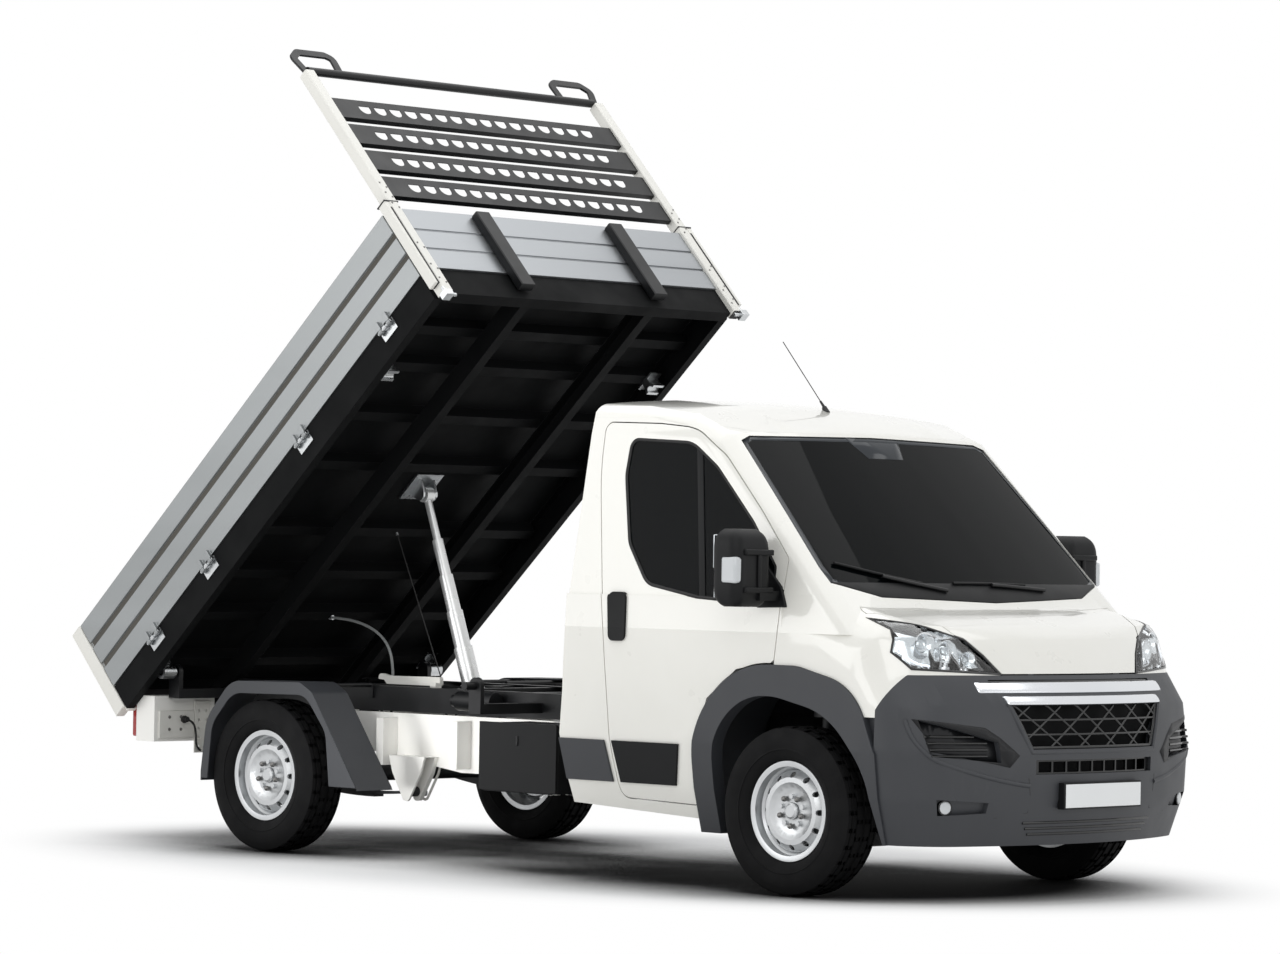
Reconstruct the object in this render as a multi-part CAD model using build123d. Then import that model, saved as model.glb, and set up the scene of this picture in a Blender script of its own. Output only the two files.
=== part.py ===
from build123d import *
import math
import os

# A light tipper truck: two-seat van cab, separate chassis, three-sided drop body raised on a telescopic ram.
# Millimetres. +X is the vehicle's left, -Y is forwards, +Z is up.
# Pieces are drawn from the front axle's middle on the ground, and all move at the end to the box's middle.
# Bed pieces are drawn with the bed lowered flat: y runs back from the bed's front to 0 at the drop sides' rear
# ends, z is 0 at the drop sides' bottom edge, and tip() raises them about the rear pivots.

# Whole vehicle
WHEELBASE = 3450
TRACK_FRONT = 1810
TRACK_REAR = 1790

# Wheels: 225/75 R16 tyres on 6 x 16 steel rims
TYRE_RADIUS = 372
TYRE_WIDTH = 225
RIM_RADIUS = 203
RIM_LIP_RADIUS = 220
RIM_WIDTH = 152
RIM_METAL = 8
DISC_OFFSET = 60
HUB_BORE_RADIUS = 39
STUD_CIRCLE = 130
STUD_COUNT = 5
STUD_RADIUS = 7
VENT_COUNT = 12
VENT_RADIUS = 13
VENT_CIRCLE = 318
BRAKE_DISC_RADIUS = 150
AXLE_HEIGHT = TYRE_RADIUS
SPINDLE_RADIUS = 22
SPINDLE_FIT = 0.05
KINGPIN_INSET = 78

# Cab skin
CAB_WALL = 62
REAR_WALL = 45
NOSE_WALL = 42
SCREEN_WALL = 60
ROOF_THICKNESS = 38
BONNET_THICKNESS = 30
DOOR_GAP = 5
ARCH_DOOR_GAP = 7
BONNET_GAP = 5
BONNET_STOP_X = 300
BONNET_LIP = 6
GLASS = 6
GLASS_INSET = 7
PROUD = 12

# Cab plan at each height: z, half width, nose y, bow radius, corner radius, rear y
LOWER_PLAN = [
    (250, 930, -884, 2100, 300, 1330),
    (450, 985, -948, 2100, 320, 1356),
    (660, 1015, -952, 2100, 330, 1390),
    (850, 1013, -926, 2100, 330, 1378),
    (985, 1012, -816, 2300, 320, 1376),
    (1136, 1008, -738, 2700, 300, 1373),
    (1400, 1001, -480, 3400, 260, 1365),
]
UPPER_PLAN = [
    (1150, 1008, -483, 5500, 130, 1374),
    (2030, 935, 410, 5500, 110, 1292),
    (2240, 905, 623, 5500, 110, 1270),
]
# Bonnet and roof tops along the middle: y, crown z
BONNET_CROWN = [(-960, 1010), (-742, 1146), (-600, 1205), (-278, 1292), (120, 1368)]
ROOF_CROWN = [(180, 1925), (450, 2060), (700, 2162), (1000, 2200), (1460, 2217)]
BONNET_BOW = 20000
BONNET_SHOULDER = 215
BONNET_HALF = 1014
ROOF_BOW = 9000
ROOF_SHOULDER = 105
ROOF_HALF = 942
ROOF_SPLIT = 1950

# Side outlines in y, z with a radius at each corner
DOOR_OUTLINE = [
    (1200, 2081, 45), (1214, 1860, 1200), (1058, 560, 900), (1022, 385, 55), (566, 372, 12),
    (566, 560, 0), (476, 850, 0), (300, 985, 0), (100, 1016, 0), (80, 1030, 0),
    (56, 1246, 60), (27, 1475, 40), (205, 1678, 300), (450, 1930, 260), (640, 2052, 260), (860, 2072, 120),
]
DOOR_WINDOW = [
    (1038, 2012, 55), (1062, 1840, 200), (1010, 1530, 120), (880, 1345, 110), (560, 1290, 60),
    (105, 1264, 20), (92, 1440, 30), (245, 1638, 300), (486, 1882, 260), (650, 1994, 180),
]
ARCH_OUTER = [(560, 150, 0), (560, 1010, 450), (-60, 1010, 300), (-400, 930, 300), (-520, 640, 0), (-520, 150, 0)]
ARCH_INNER = [(438, 150, 0), (438, 871, 312), (60, 871, 400), (-250, 805, 420), (-450, 580, 420), (-520, 150, 0)]
ARCH_DEPTH = 560
LINER = 8
BUMPER_EDGE = [(-506, 150), (-511, 833), (-605, 985), (-1100, 985), (-1100, 150)]
SILL_CUT = [(430, 100), (430, 303), (1303, 345), (1500, 352), (1500, 100)]
# Bonnet in plan, its corner's relief under the lip, and the headlight seen from the front: x, y and x, z
BONNET_PLAN = [(0, -412), (450, -394), (866, -292), (880, -340), (620, -672), (474, -762), (474, -1100), (0, -1100)]
BONNET_RELIEF = [(846, -276), (900, -276), (900, -330), (762, -506), (738, -490), (850, -350)]
HEADLIGHT_FRONT = [(905, 1226), (760, 1192), (610, 1140), (535, 1070), (468, 985), (893, 1006), (945, 1080)]
WINDSCREEN_FRONT = [(0, 1290), (700, 1312), (925, 1372), (925, 1440), (845, 2000), (780, 2022), (0, 2034)]
REAR_WINDOW = (480, 1490, 1930)
GRILLE_FRONT = [(0, 668), (418, 668), (508, 850), (508, 858), (0, 858)]
HEX_PITCH = 74
HEX_WALL = 9
HEX_ROWS = [(702, 0), (764, 1), (826, 0)]
SLOT_HALF = 402
SLOT_LOW = 560
SLOT_HIGH = 622
BAR_HEIGHTS = [(866, 894, 532), (936, 966, 560)]
BAR_PROUD = 16
SIDE_MOULD = (452, 640)
RECESS_DEPTH = 26
INTAKE_FRONT = [(585, 612), (900, 640), (930, 795), (600, 700)]
FOG_FRONT = [(640, 395), (850, 385), (870, 455), (640, 440)]
MESH_THICK = 12
MESH_BACK = 16

DOOR_INNER = 850
WING_OUTLINE = [(-1100, 700), (76, 700), (76, 1110), (51, 1246), (42, 1312), (-330, 1330), (-1100, 1330)]
ROOF_EDGE = [(250, 2042), (470, 2042), (720, 2104), (1500, 2104), (1500, 2400), (250, 2400)]
REAR_WALL_HALF = 820
FLOOR_LOW = 560
FLOOR_PROFILE = [
    (1345, 560), (1345, 590), (600, 590), (150, 590), (40, 720), (20, 1235), (-10, 1235), (8, 710), (130, 560),
]
MIRROR_X = 1152
MIRROR_Y = 150
MIRROR_SECTIONS = [
    (1262, 150, 90, 30, 0), (1285, 205, 140, 45, 0), (1430, 235, 168, 55, 0), (1560, 225, 150, 50, 4), (1602, 150, 80, 30, 10),
]
GUARD_OUTER = [(2724, 330), (3062, 790, 60), (3150, 835, 60), (3655, 828, 160), (3832, 640, 200), (3868, 375), (3868, 330)]
GUARD_INNER = [(2925, 300), (2960, 600, 120), (3110, 774, 120), (3640, 768, 150), (3790, 610, 150), (3822, 300)]
GUARD_SKIN = 8
GUARD_INSIDE = 800
GUARD_OUTSIDE = 1030
STAY_YS = [3250, 3560]
STAY_RADIUS = 11
STAY_START = 7
STAY_END = 900
SEAT_GAP = 0.3

# Cab inside
DASH_HALF = 905
DASH_PROFILE = [(45, 1235, 20), (80, 1250, 40), (330, 1150, 50), (360, 1010, 40), (260, 800, 40), (60, 760, 10)]
WHEEL_X = 400
WHEEL_HUB = (455, 1180)
COLUMN_TILT = math.radians(62)
STEER_RADIUS = 192
STEER_RIM = 15
BOSS_THICK = 34
COLUMN_LONG = 260
SEAT_SPANS = [(150, 650), (-760, 90)]
SEAT_BASE = 760
SEAT_PROFILE = [
    (560, 760, 40), (545, 880, 50), (960, 850, 30), (1120, 1470, 45), (1215, 1460, 45), (1110, 850, 60), (1060, 760, 20),
]
HEADREST_XS = [400, -120, -540]
HEADREST_PROFILE = [(1135, 1490, 30), (1150, 1680, 40), (1235, 1670, 40), (1225, 1480, 30)]

# Chassis
RAIL_X = 430
RAIL_WIDTH = 70
RAIL_WALL = 6
RAIL_SIDE = [
    (-780, 420), (-780, 540), (-420, 552), (1395, 552), (1480, 684), (3700, 684), (4480, 640),
    (4480, 520), (3760, 520), (3300, 500), (2600, 410), (1350, 410), (500, 330), (-420, 330),
]
CROSS_MEMBERS = [
    (-700, 430, 530), (760, 340, 440), (1700, 430, 560), (2500, 430, 660), (3900, 540, 640), (4430, 540, 636),
]
TOW_SPACING = (83, 56)
TOW_HOLE_RADIUS = 6.5
OUTRIGGER_YS = [2560, 3080]
FRONT_HANGER = [(2760, 480), (3010, 480), (2985, 400, 30), (2900, 262, 24), (2868, 262, 24), (2785, 400, 30)]
REAR_HANGER = [(4010, 640), (4110, 640), (4090, 420, 30), (4030, 420, 30)]
KING_PIN = 12
STRUT_X = 735
STRUT_TOP = 1001.7
BEAM_RADIUS = 45
SPRING_SEAT = 301
SPRING_EYES = [(2884, 300), (4060, 440)]
SPRING_X = 520
SPRING_WIDE = 60
SPRING_LEAF = 14
SPRING_SLOT_TOP = 478
CARRIER_X = 560
SUB_X = 430
SUB_WIDTH = 60
SUB_LOW = 690
SUB_TOP = 812
SUB_FRONT = 1450
SUB_REAR = 4255
SUB_CROSS_YS = [1490, 2300, 2860, 3145, 3600]
SUB_FOOT_YS = [1560, 2400, 3300, 3640]
REST_Y = 2099
LUG_X = (845, 870)
LUG_HALF = 40
BEAM_LOW = 718
BEAM_TOP = 766
CRADLE_X = 82
TOOLBOX_X = (600, 915)
TOOLBOX_Y = (1494, 2001)
TOOLBOX_Z = (370, 684)
PROP_X = -330
PROP_OUTLINE = [(2890, 818, 10), (2890, 862, 10), (3250, 858), (3330, 872, 20), (3330, 840, 6), (3290, 838, 6), (3270, 818)]

# Bed
BED_LENGTH = 2977
SIDE_OUTER = 1020
SIDE_THICK = 25
SIDE_HEIGHT = 401
GROOVE_HEIGHTS = [134, 268]
GROOVE_WIDE = 14
GROOVE_DEEP = 7
RAIL_DEEP = 147
SIDE_RAIL_X = 1014
SIDE_RAIL_WIDE = 50
FLOOR_TOP = -6
FLOOR_PLATE = 4
FRONT_RAIL_TOP = -9
BEARER_DEEP = 62
BEARER_WIDE = 60
BEARER_ALONGS = [30, 272, 622, 940, 1263, 1740, 2090, 2440, 2694, 2947]
LONGITUDINAL_LOW = -165
HEADBOARD_Y = -3048
HEADBOARD_THICK = 28
HEADBOARD_TOP = 384
POST_X = 1003
POST_SIZE = 60
POST_LOW = -176
POST_TOP = 1310
RACK_TOPS = [1137, 958, 779, 600]
RACK_TALL = 132
RACK_DEEP = 28
RACK_PLATE = 4
D_HOLES = 16
D_PITCH = 102.5
D_RADIUS = 34
RACK_TUBE_RADIUS = 21
RACK_TUBE_HEIGHT = 1325
UPRIGHT_X = 460
UPRIGHT_WIDE = 92
REAR_POST_LONG = 80
REAR_POST_WIDE = 56
BOARD_GROOVES = [120, 246]
POST_Y = -3066
RACK_TUBE_HALF = 990
GUARD_BEND = [(1000, -3036, 1326), (1030, -3036, 1420), (980, -3036, 1462), (800, -3036, 1462), (760, -3036, 1440), (770, -3036, 1325)]
UPRIGHT_DEEP = 46
UPRIGHT_LOW = -125
UPRIGHT_TOP = 362
HINGE_FIT = 0.05
GATE_Y = 30
GATE_AXIS_Y = 42
EAR_X = 36
EAR_OUTLINE = [(-1611, -12), (-1491, -12), (-1523, -86, 20), (-1537, -101, 10), (-1565, -101, 10), (-1579, -86, 20)]
REAR_POST_LOW = -128
HINGE_STATIONS = [411, 950, 1864, 2654]
HINGE_X = 1034
HINGE_HEIGHT = -28
HINGE_PIN = 7
TAIL_THICK = 25
TAIL_AXIS_HEIGHT = 392
STUB_RADIUS = 9

# Tipping gear
TIP_ANGLE = 42.44
PIVOT_Y = 4267
PIVOT_Z = 850
PIVOT_ALONG = 272
PIVOT_UNDER = 140
PIVOT_X = 920
PIVOT_PIN = 19
FRONT_BALL_ALONG = 2440
RAM_BASE_Y = 3005
RAM_BASE_Z = 785
RAM_HEAD_ALONG = 1551
RAM_HEAD_UNDER = 75
RAM_BARREL_RADIUS = 60
RAM_RADII = [47.5, 41, 35, 28, 20]
RAM_FIT = 0.05
RAM_BARREL_BELOW = 262
RAM_BARREL_ABOVE = 40
RAM_TRUNNION = 18
RAM_PIN = 12
RAM_EYE = 25
HOSE_RADIUS = 7
HOSE_ROUTE = [
    (0, 4050, 1129), (0, 3942, 1124), (0, 3825, 1104), (0, 3715, 1066), (0, 3632, 1003), (0, 3593, 910), (0, 3592, 820),
]
GLAND_RADIUS = 12
GLAND_LONG = 14
CABLE_RADIUS = 3
CABLE_ENDS = [(0, 3576, 1556), (0, 3230, 826)]
VALVE_Y = (3175, 3270)


def tip(shape):
    """Turn a bed piece about the rear pivots to the raised angle."""
    return Pos(0, PIVOT_Y, PIVOT_Z) * Rot(-TIP_ANGLE, 0, 0) * Pos(0, PIVOT_ALONG, PIVOT_UNDER) * shape


def tipped_point(along, height):
    """World y and z of a bed point given along the bed from its rear and above the drop sides' foot."""
    angle = math.radians(TIP_ANGLE)
    back = PIVOT_ALONG - along
    rise = height + PIVOT_UNDER
    y = PIVOT_Y + back * math.cos(angle) + rise * math.sin(angle)
    z = PIVOT_Z - back * math.sin(angle) + rise * math.cos(angle)
    return y, z


def block(x0, x1, y0, y1, z0, z1):
    """A box between two corners."""
    return Pos((x0 + x1) / 2, (y0 + y1) / 2, (z0 + z1) / 2) * Box(x1 - x0, y1 - y0, z1 - z0)


def outline(points):
    """A closed face from points with an optional corner radius as the third value."""
    corners = [(p[0], p[1]) for p in points]
    radii = [p[2] if len(p) > 2 else 0 for p in points]
    return make_face(FilletPolyline(*corners, radius=radii, close=True))


def side_prism(points, x0, x1):
    """A y, z outline carried across from x0 to x1."""
    return extrude(Plane.YZ.offset(x0) * outline(points), x1 - x0)


def front_prism(points, y0, y1):
    """An x, z outline carried back from y0 to y1."""
    return extrude(Plane.XZ.offset(-y1) * outline(points), y1 - y0)


def plan_prism(points, z0, z1):
    """An x, y outline carried up from z0 to z1."""
    return extrude(Plane.XY.offset(z0) * outline(points), z1 - z0)


def symmetric(points):
    """A closed outline from its right half, whose first and last points lie on the middle line."""
    mirrored = [(-p[0],) + tuple(p[1:]) for p in reversed(points) if p[0] > 0]
    return list(points) + mirrored


def rod(start, end, radius, bore=0):
    """A round bar between two points."""
    a = Vector(*start)
    b = Vector(*end)
    plane = Plane(origin=a, z_dir=(b - a).normalized())
    face = Circle(radius) - Circle(bore) if bore else Circle(radius)
    return extrude(plane * face, (b - a).length)


def pair(shape):
    """The shape and its mirror image on the other side."""
    return [shape, mirror(shape, Plane.YZ)]


def join(shapes):
    """Fuse a list of shapes."""
    first, *rest = shapes
    return first.fuse(*rest) if rest else first


def bowed_face(plane, half, flat_end, bowed_end, bow_radius, corner):
    """A rectangle whose bowed end swells outwards, with its two corners there rounded."""
    side = 1 if bowed_end > flat_end else -1
    shoulder = bowed_end - side * (bow_radius - math.sqrt(bow_radius**2 - half**2))
    edges = Curve() + [
        Line((-half, flat_end), (-half, shoulder)),
        ThreePointArc((-half, shoulder), (0, bowed_end), (half, shoulder)),
        Line((half, shoulder), (half, flat_end)),
        Line((half, flat_end), (-half, flat_end)),
    ]
    face = make_face(edges)
    corners = [v for v in face.vertices() if abs(v.Y - shoulder) < 0.01]
    return plane * fillet(corners, corner)


def plan_loft(rows, side_in, nose_in, rear_in, drop=0):
    """Cab body between plan sections, inset for the inside of its walls."""
    faces = []
    for number, (z, half, nose, bow, corner, rear) in enumerate(rows):
        height = z - drop if number == 0 else z
        plane = Plane.XY.offset(height)
        faces.append(bowed_face(plane, half - side_in, rear - rear_in, nose + nose_in, bow, corner))
    return loft(faces, ruled=True)


def crown_loft(rows, half, bow, corner, inset):
    """The space under a crowned bonnet or roof skin, from sections across the cab."""
    faces = []
    for y, crown in rows:
        plane = Plane.XZ.offset(-y)
        faces.append(bowed_face(plane, half - inset, 100, crown - inset, bow, corner))
    return loft(faces, ruled=True)


def cab_form(side_in, nose_in, screen_in, rear_in, top_in, bonnet_in, drop):
    """The cab's outer form, or its inner form when inset."""
    body = plan_loft(LOWER_PLAN, side_in, nose_in, rear_in, drop)
    front = body & crown_loft(BONNET_CROWN, BONNET_HALF, BONNET_BOW, BONNET_SHOULDER, bonnet_in)
    back = body & block(-1200, 1200, 40 + screen_in, 1500, 100, 1300)
    upper = plan_loft(UPPER_PLAN, side_in, screen_in, rear_in, 0)
    walls = upper & block(-1200, 1200, -700, 1500, 1100, ROOF_SPLIT)
    crown = crown_loft(ROOF_CROWN, ROOF_HALF, ROOF_BOW, ROOF_SHOULDER, top_in)
    roof = upper & (crown & block(-1200, 1200, 100, 1500, ROOF_SPLIT, 2400))
    return front + back + walls + roof


def bend_radii(route):
    """The largest arc at each corner of a cord's route that its shorter run leaves room for."""
    radii = []
    for before, corner, after in zip(route, route[1:], route[2:]):
        run_in = Vector(*corner) - Vector(*before)
        run_out = Vector(*after) - Vector(*corner)
        turn = math.radians(run_in.get_angle(run_out))
        radii.append(0.45 * min(run_in.length, run_out.length) / math.tan(turn / 2))
    return radii


NODES = {}


def keep(name, shape):
    """Name a finished piece."""
    NODES[name] = shape


def group(shapes, least=1e5):
    """Separate solids in one piece, without the slivers under the least volume."""
    return Compound(children=[s for shape in shapes for s in shape.solids() if s.volume > least])


def keep_both(name, shape):
    """Name a left piece and its mirror image on the right."""
    keep(f"{name}_left", shape)
    keep(f"{name}_right", group([mirror(s, Plane.YZ) for s in shape.solids()], 0))


def grow(points, gap):
    """An outline face widened by a gap, or narrowed by a negative one."""
    return offset(outline(points), gap)


def side_slab(face, x0, x1):
    """A y, z face carried across from x0 to x1."""
    return extrude(Plane.YZ.offset(x0) * face, x1 - x0)


def front_slab(face, y0, y1):
    """An x, z face carried back from y0 to y1."""
    return extrude(Plane.XZ.offset(-y1) * face, y1 - y0)


# Cab skin
outer = cab_form(0, 0, 0, 0, 0, 0, 0)
inner = cab_form(CAB_WALL, NOSE_WALL, SCREEN_WALL, REAR_WALL, ROOF_THICKNESS, BONNET_THICKNESS, 60)


arch_cut = side_prism(ARCH_OUTER, ARCH_DEPTH, 1200)
arch_cuts = arch_cut + mirror(arch_cut, Plane.YZ)
under_wall = block(-REAR_WALL_HALF - 8, REAR_WALL_HALF + 8, 900, 1500, 100, FLOOR_LOW)
shell = outer - inner - arch_cuts - side_prism(SILL_CUT, -1200, 1200) - under_wall


def nose_at(height):
    """Nose y on the lower body's middle line at a height."""
    for low, high in zip(LOWER_PLAN, LOWER_PLAN[1:]):
        if low[0] <= height <= high[0]:
            share = (height - low[0]) / (high[0] - low[0])
            return low[2] + share * (high[2] - low[2])
    raise ValueError("height is off the body")


def nose_strip(height, thickness, proud, half, low, high):
    """A bar bowed like the nose, standing proud of it by the given amount."""
    radius = LOWER_PLAN[2][3]
    front = nose_at(height) - proud
    ring = Circle(radius) - Circle(radius - thickness)
    strip = extrude(Plane.XY.offset(low) * Pos(0, front + radius) * ring, high - low)
    return strip & block(-half, half, front - 10, front + 400, low, high)


# Bumper with its grille and slot openings, side intakes and fog lamp recesses
bumper = shell & side_prism(BUMPER_EDGE, -1200, 1200)
grille_hole = front_prism(symmetric(GRILLE_FRONT), -1100, -600)
slot_hole = block(-SLOT_HALF, SLOT_HALF, -1100, -600, SLOT_LOW, SLOT_HIGH)
bumper = bumper - grille_hole - slot_hole
for low, high, half in BAR_HEIGHTS:
    bumper = bumper - block(-half, half, -1100, -600, low, high)
recess_back = plan_loft(LOWER_PLAN[:4], RECESS_DEPTH, RECESS_DEPTH, 0)
recesses = [front_prism(points, -1100, -300) - recess_back for points in (INTAKE_FRONT, FOG_FRONT)]
for recess in recesses:
    bumper = bumper - recess - mirror(recess, Plane.YZ)
stop_y = nose_at(985) + 25
for x in (-BONNET_STOP_X, BONNET_STOP_X):
    bumper = bumper + block(x - 20, x + 20, stop_y, stop_y + 25, 978, 986 + BONNET_GAP - SEAT_GAP)
keep("bumper", bumper)

# Grille: honeycomb and slot plates behind the openings, and two plain bright bars across them
mesh_plate = nose_strip(760, MESH_THICK, -MESH_BACK, 500, GRILLE_FRONT[0][1], GRILLE_FRONT[3][1]) & grille_hole
hexes = []
for height, odd in HEX_ROWS:
    for step in range(-6, 7):
        x = (step + odd / 2) * HEX_PITCH
        edge = 418 + (height - 668) * 0.49
        if abs(x) < edge - HEX_PITCH / 2 - 8:
            cell = RegularPolygon((HEX_PITCH - HEX_WALL) / math.sqrt(3), 6, rotation=30)
            hexes.append(front_slab(Pos(x, height) * cell, -1100, -600))
mesh_plate = mesh_plate - hexes
slot_plate = nose_strip(590, MESH_THICK, -MESH_BACK, SLOT_HALF, SLOT_LOW, SLOT_HIGH)
slot_plate = slot_plate - [block(x - 37, x + 37, -1100, -600, SLOT_LOW + 8, SLOT_HIGH - 8) for x in range(-336, 337, 84)]
bars = [nose_strip((low + high) / 2, 30, BAR_PROUD, half, low, high) for low, high, half in BAR_HEIGHTS]
keep("grille", group([mesh_plate, slot_plate] + bars))

# Bonnet and headlights
bonnet_plan = make_face(Polyline(*symmetric(BONNET_PLAN), close=True))
lamp_space = front_prism(HEADLIGHT_FRONT, -1100, -150)
lamp_spaces = pair(lamp_space)
nose_shell = shell & block(-1200, 1200, -1100, 90, 800, 1500)
nose_shell = nose_shell - side_prism(BUMPER_EDGE, -1200, 1200)
bonnet_space = extrude(Plane.XY.offset(986 + BONNET_GAP) * offset(bonnet_plan, -BONNET_GAP / 2), 400)
bonnet_hole = extrude(Plane.XY.offset(980) * offset(bonnet_plan, BONNET_GAP / 2), 400)
lamp_gap = [front_slab(grow(HEADLIGHT_FRONT, BONNET_GAP), -1100, -150)]
lamp_gap.append(mirror(lamp_gap[0], Plane.YZ))
relief = extrude(Plane.XY.offset(1100) * outline(BONNET_RELIEF), 300)
relief = relief & outer.moved(Location((0, 0, -BONNET_LIP)))
keep("bonnet", (nose_shell & bonnet_space) - lamp_gap - pair(relief))
keep("headlights", group([nose_shell & space for space in lamp_spaces]))

# Front wings, clear of the doors and the windscreen
screen_hole = front_prism(symmetric(WINDSCREEN_FRONT), -700, 900)
door_face = outline(DOOR_OUTLINE)
door_hole = side_slab(offset(door_face, DOOR_GAP), DOOR_INNER - DOOR_GAP, 1200)
wing_space = side_prism(WING_OUTLINE, -1200, 1200)
wings = (nose_shell & wing_space) - bonnet_hole - lamp_spaces - screen_hole - door_hole - mirror(door_hole, Plane.YZ)
keep("front_wings", group([wings]))

# Doors: slabs as thick as the side, with the window cut; the hole in the side is a gap wider
side_shell = shell & block(700, 1200, -300, 1260, 250, 2140)
door_slab = side_shell & side_slab(door_face, DOOR_INNER, 1200)
window_space = side_prism(DOOR_WINDOW, 700, 1200)
arch_swing = side_slab(grow(ARCH_OUTER, ARCH_DOOR_GAP), ARCH_DEPTH, 1200)
door_left = door_slab - window_space - arch_swing
glass_out = plan_loft(UPPER_PLAN, GLASS_INSET, GLASS_INSET, GLASS_INSET, 0)
glass_in = plan_loft(UPPER_PLAN, GLASS_INSET + GLASS, GLASS_INSET + GLASS, GLASS_INSET + GLASS, 0)
door_glass = (window_space & glass_out) - glass_in

# Door trim: mirror, side moulding and handle
mould_low, mould_high = SIDE_MOULD
skin_out = outer.moved(Location((PROUD, 0, 0))) & block(900, 1200, 600, 1400, 300, 1400)
skin_out = skin_out - outer
door_mould = skin_out & side_prism([(672, mould_low), (1012, mould_low), (1052, mould_high), (640, mould_high)], 900, 1200)
handle = skin_out & side_prism([(985, 1090, 30), (1085, 1090, 30), (1100, 1312, 30), (985, 1312, 30)], 900, 1200)
mirror_case = loft([
    Plane.XY.offset(z) * Pos(MIRROR_X, MIRROR_Y + shift) * fillet(Rectangle(wide, deep).vertices(), round_)
    for z, wide, deep, round_, shift in MIRROR_SECTIONS
])
mirror_arm = block(985, MIRROR_X - 20, 55, 150, 1290, 1332) - outer
mirror_body = mirror_case + mirror_arm
trim_left = group([door_mould, handle, mirror_body - outer])
keep_both("door", door_left)
keep_both("door_glass", door_glass)
keep_both("door_trim", trim_left)

# Windscreen and rear window
windscreen = (screen_hole & glass_out) - glass_in
rear_half, rear_low, rear_high = REAR_WINDOW
rear_outline = [(-rear_half, rear_low, 60), (rear_half, rear_low, 60), (rear_half, rear_high, 60), (-rear_half, rear_high, 60)]
rear_hole = front_prism(rear_outline, 1200, 1500)
rear_window = (rear_hole & glass_out) - glass_in
keep("cab_glass", group([windscreen, rear_window]))

# Roof, rear wall and the side frames, which are what the other panels leave
roof_space = side_prism(ROOF_EDGE, -1200, 1200)
cab_shell = shell - side_prism(BUMPER_EDGE, -1200, 1200) - screen_hole
cab_roof = cab_shell & roof_space
wall_space = block(-REAR_WALL_HALF, REAR_WALL_HALF, 1210, 1500, FLOOR_LOW, 2300) - roof_space
rear_wall = (cab_shell & wall_space) - rear_hole
sides = cab_shell - roof_space - wall_space - door_hole - mirror(door_hole, Plane.YZ)
sides = sides - (wing_space & block(-1200, 1200, -1100, 90, 800, 1400)) - bonnet_hole - lamp_spaces
keep("cab_roof", cab_roof)
keep("cab_rear_wall", rear_wall)
keep("cab_sides", group([sides], 1e6))

# Floor pan with the footwell and bulkhead, cut for the wheel arches
floor_half = 948
floor = side_prism(FLOOR_PROFILE, -floor_half, floor_half) - arch_cuts
floor = floor & inner
keep("cab_floor", floor)

# Wheel arch trims with their liners, the cab's rear mouldings and the rear mudguards
trim_band = outline(ARCH_OUTER) - outline(ARCH_INNER)
arch_form = outer.moved(Location((PROUD, 0, 0))) & block(ARCH_DEPTH, 1100, -560, 600, 250, 1100)
trim = (side_slab(trim_band, 860, 1200) & arch_form) - inner
liner_band = outline(ARCH_OUTER) - offset(outline(ARCH_OUTER), -LINER)
liner = (side_slab(liner_band, ARCH_DEPTH, 965) & block(500, 970, -530, 600, 330, 1100)) & arch_form
arch = trim + liner
rear_mould = skin_out & side_prism([(1062, mould_low), (1380, mould_low), (1386, mould_high), (1102, mould_high)], 900, 1200)
guard_out = outline(GUARD_OUTER)
guard_top = side_slab(guard_out - offset(guard_out, -GUARD_SKIN), GUARD_INSIDE, GUARD_OUTSIDE)
guard_side = side_slab(guard_out - outline(GUARD_INNER), GUARD_OUTSIDE - GUARD_SKIN, GUARD_OUTSIDE)
guard = (guard_top + guard_side) - block(700, 1100, 2735, 3860, 300, 342)
keep("arch_trims", group([half for piece in (arch, rear_mould, guard) for half in pair(piece)]))

# Dashboard with the steering column, and seats
dash = side_prism(DASH_PROFILE, -DASH_HALF, DASH_HALF)
ring_axis = Vector(0, math.sin(COLUMN_TILT), math.cos(COLUMN_TILT))
hub_middle = Vector(WHEEL_X, *WHEEL_HUB)
column = rod(hub_middle - ring_axis * COLUMN_LONG, hub_middle - ring_axis * (BOSS_THICK / 2 + SEAT_GAP), 34)
keep("dashboard", (dash & inner) - arch_cuts + column)
ring_plane = Plane(origin=hub_middle, x_dir=(1, 0, 0), z_dir=ring_axis)
ring = ring_plane * Torus(STEER_RADIUS, STEER_RIM)
boss = ring_plane * Cylinder(58, BOSS_THICK)
spokes = [ring_plane * Rot(0, 0, turn) * Pos(STEER_RADIUS / 2, 0, 0) * Box(STEER_RADIUS, 26, 12) for turn in (0, 180, 270)]
keep("steering_wheel", ring + boss + spokes)
seats = []
for x0, x1 in SEAT_SPANS:
    seats.append(side_prism(SEAT_PROFILE, x0, x1))
for x in HEADREST_XS:
    seats.append(side_prism(HEADREST_PROFILE, x - 120, x + 120))
    seats += [rod((x + shift, 1165, 1440), (x + shift, 1185, 1520), 7) for shift in (-60, 60)]
bases = [block(x0 + 40, x1 - 40, 640, 1080, 590, SEAT_BASE) for x0, x1 in SEAT_SPANS]
keep("seats", group([join(seats[:2] + seats[2:] + bases)], 0))
rail_edge = RAIL_X - RAIL_WIDTH / 2 - SEAT_GAP
engine = block(-380, 360, -560, -90, 350, 900) + block(-rail_edge, rail_edge, -360, -280, 520, 556)
keep("engine_block", engine)

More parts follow.
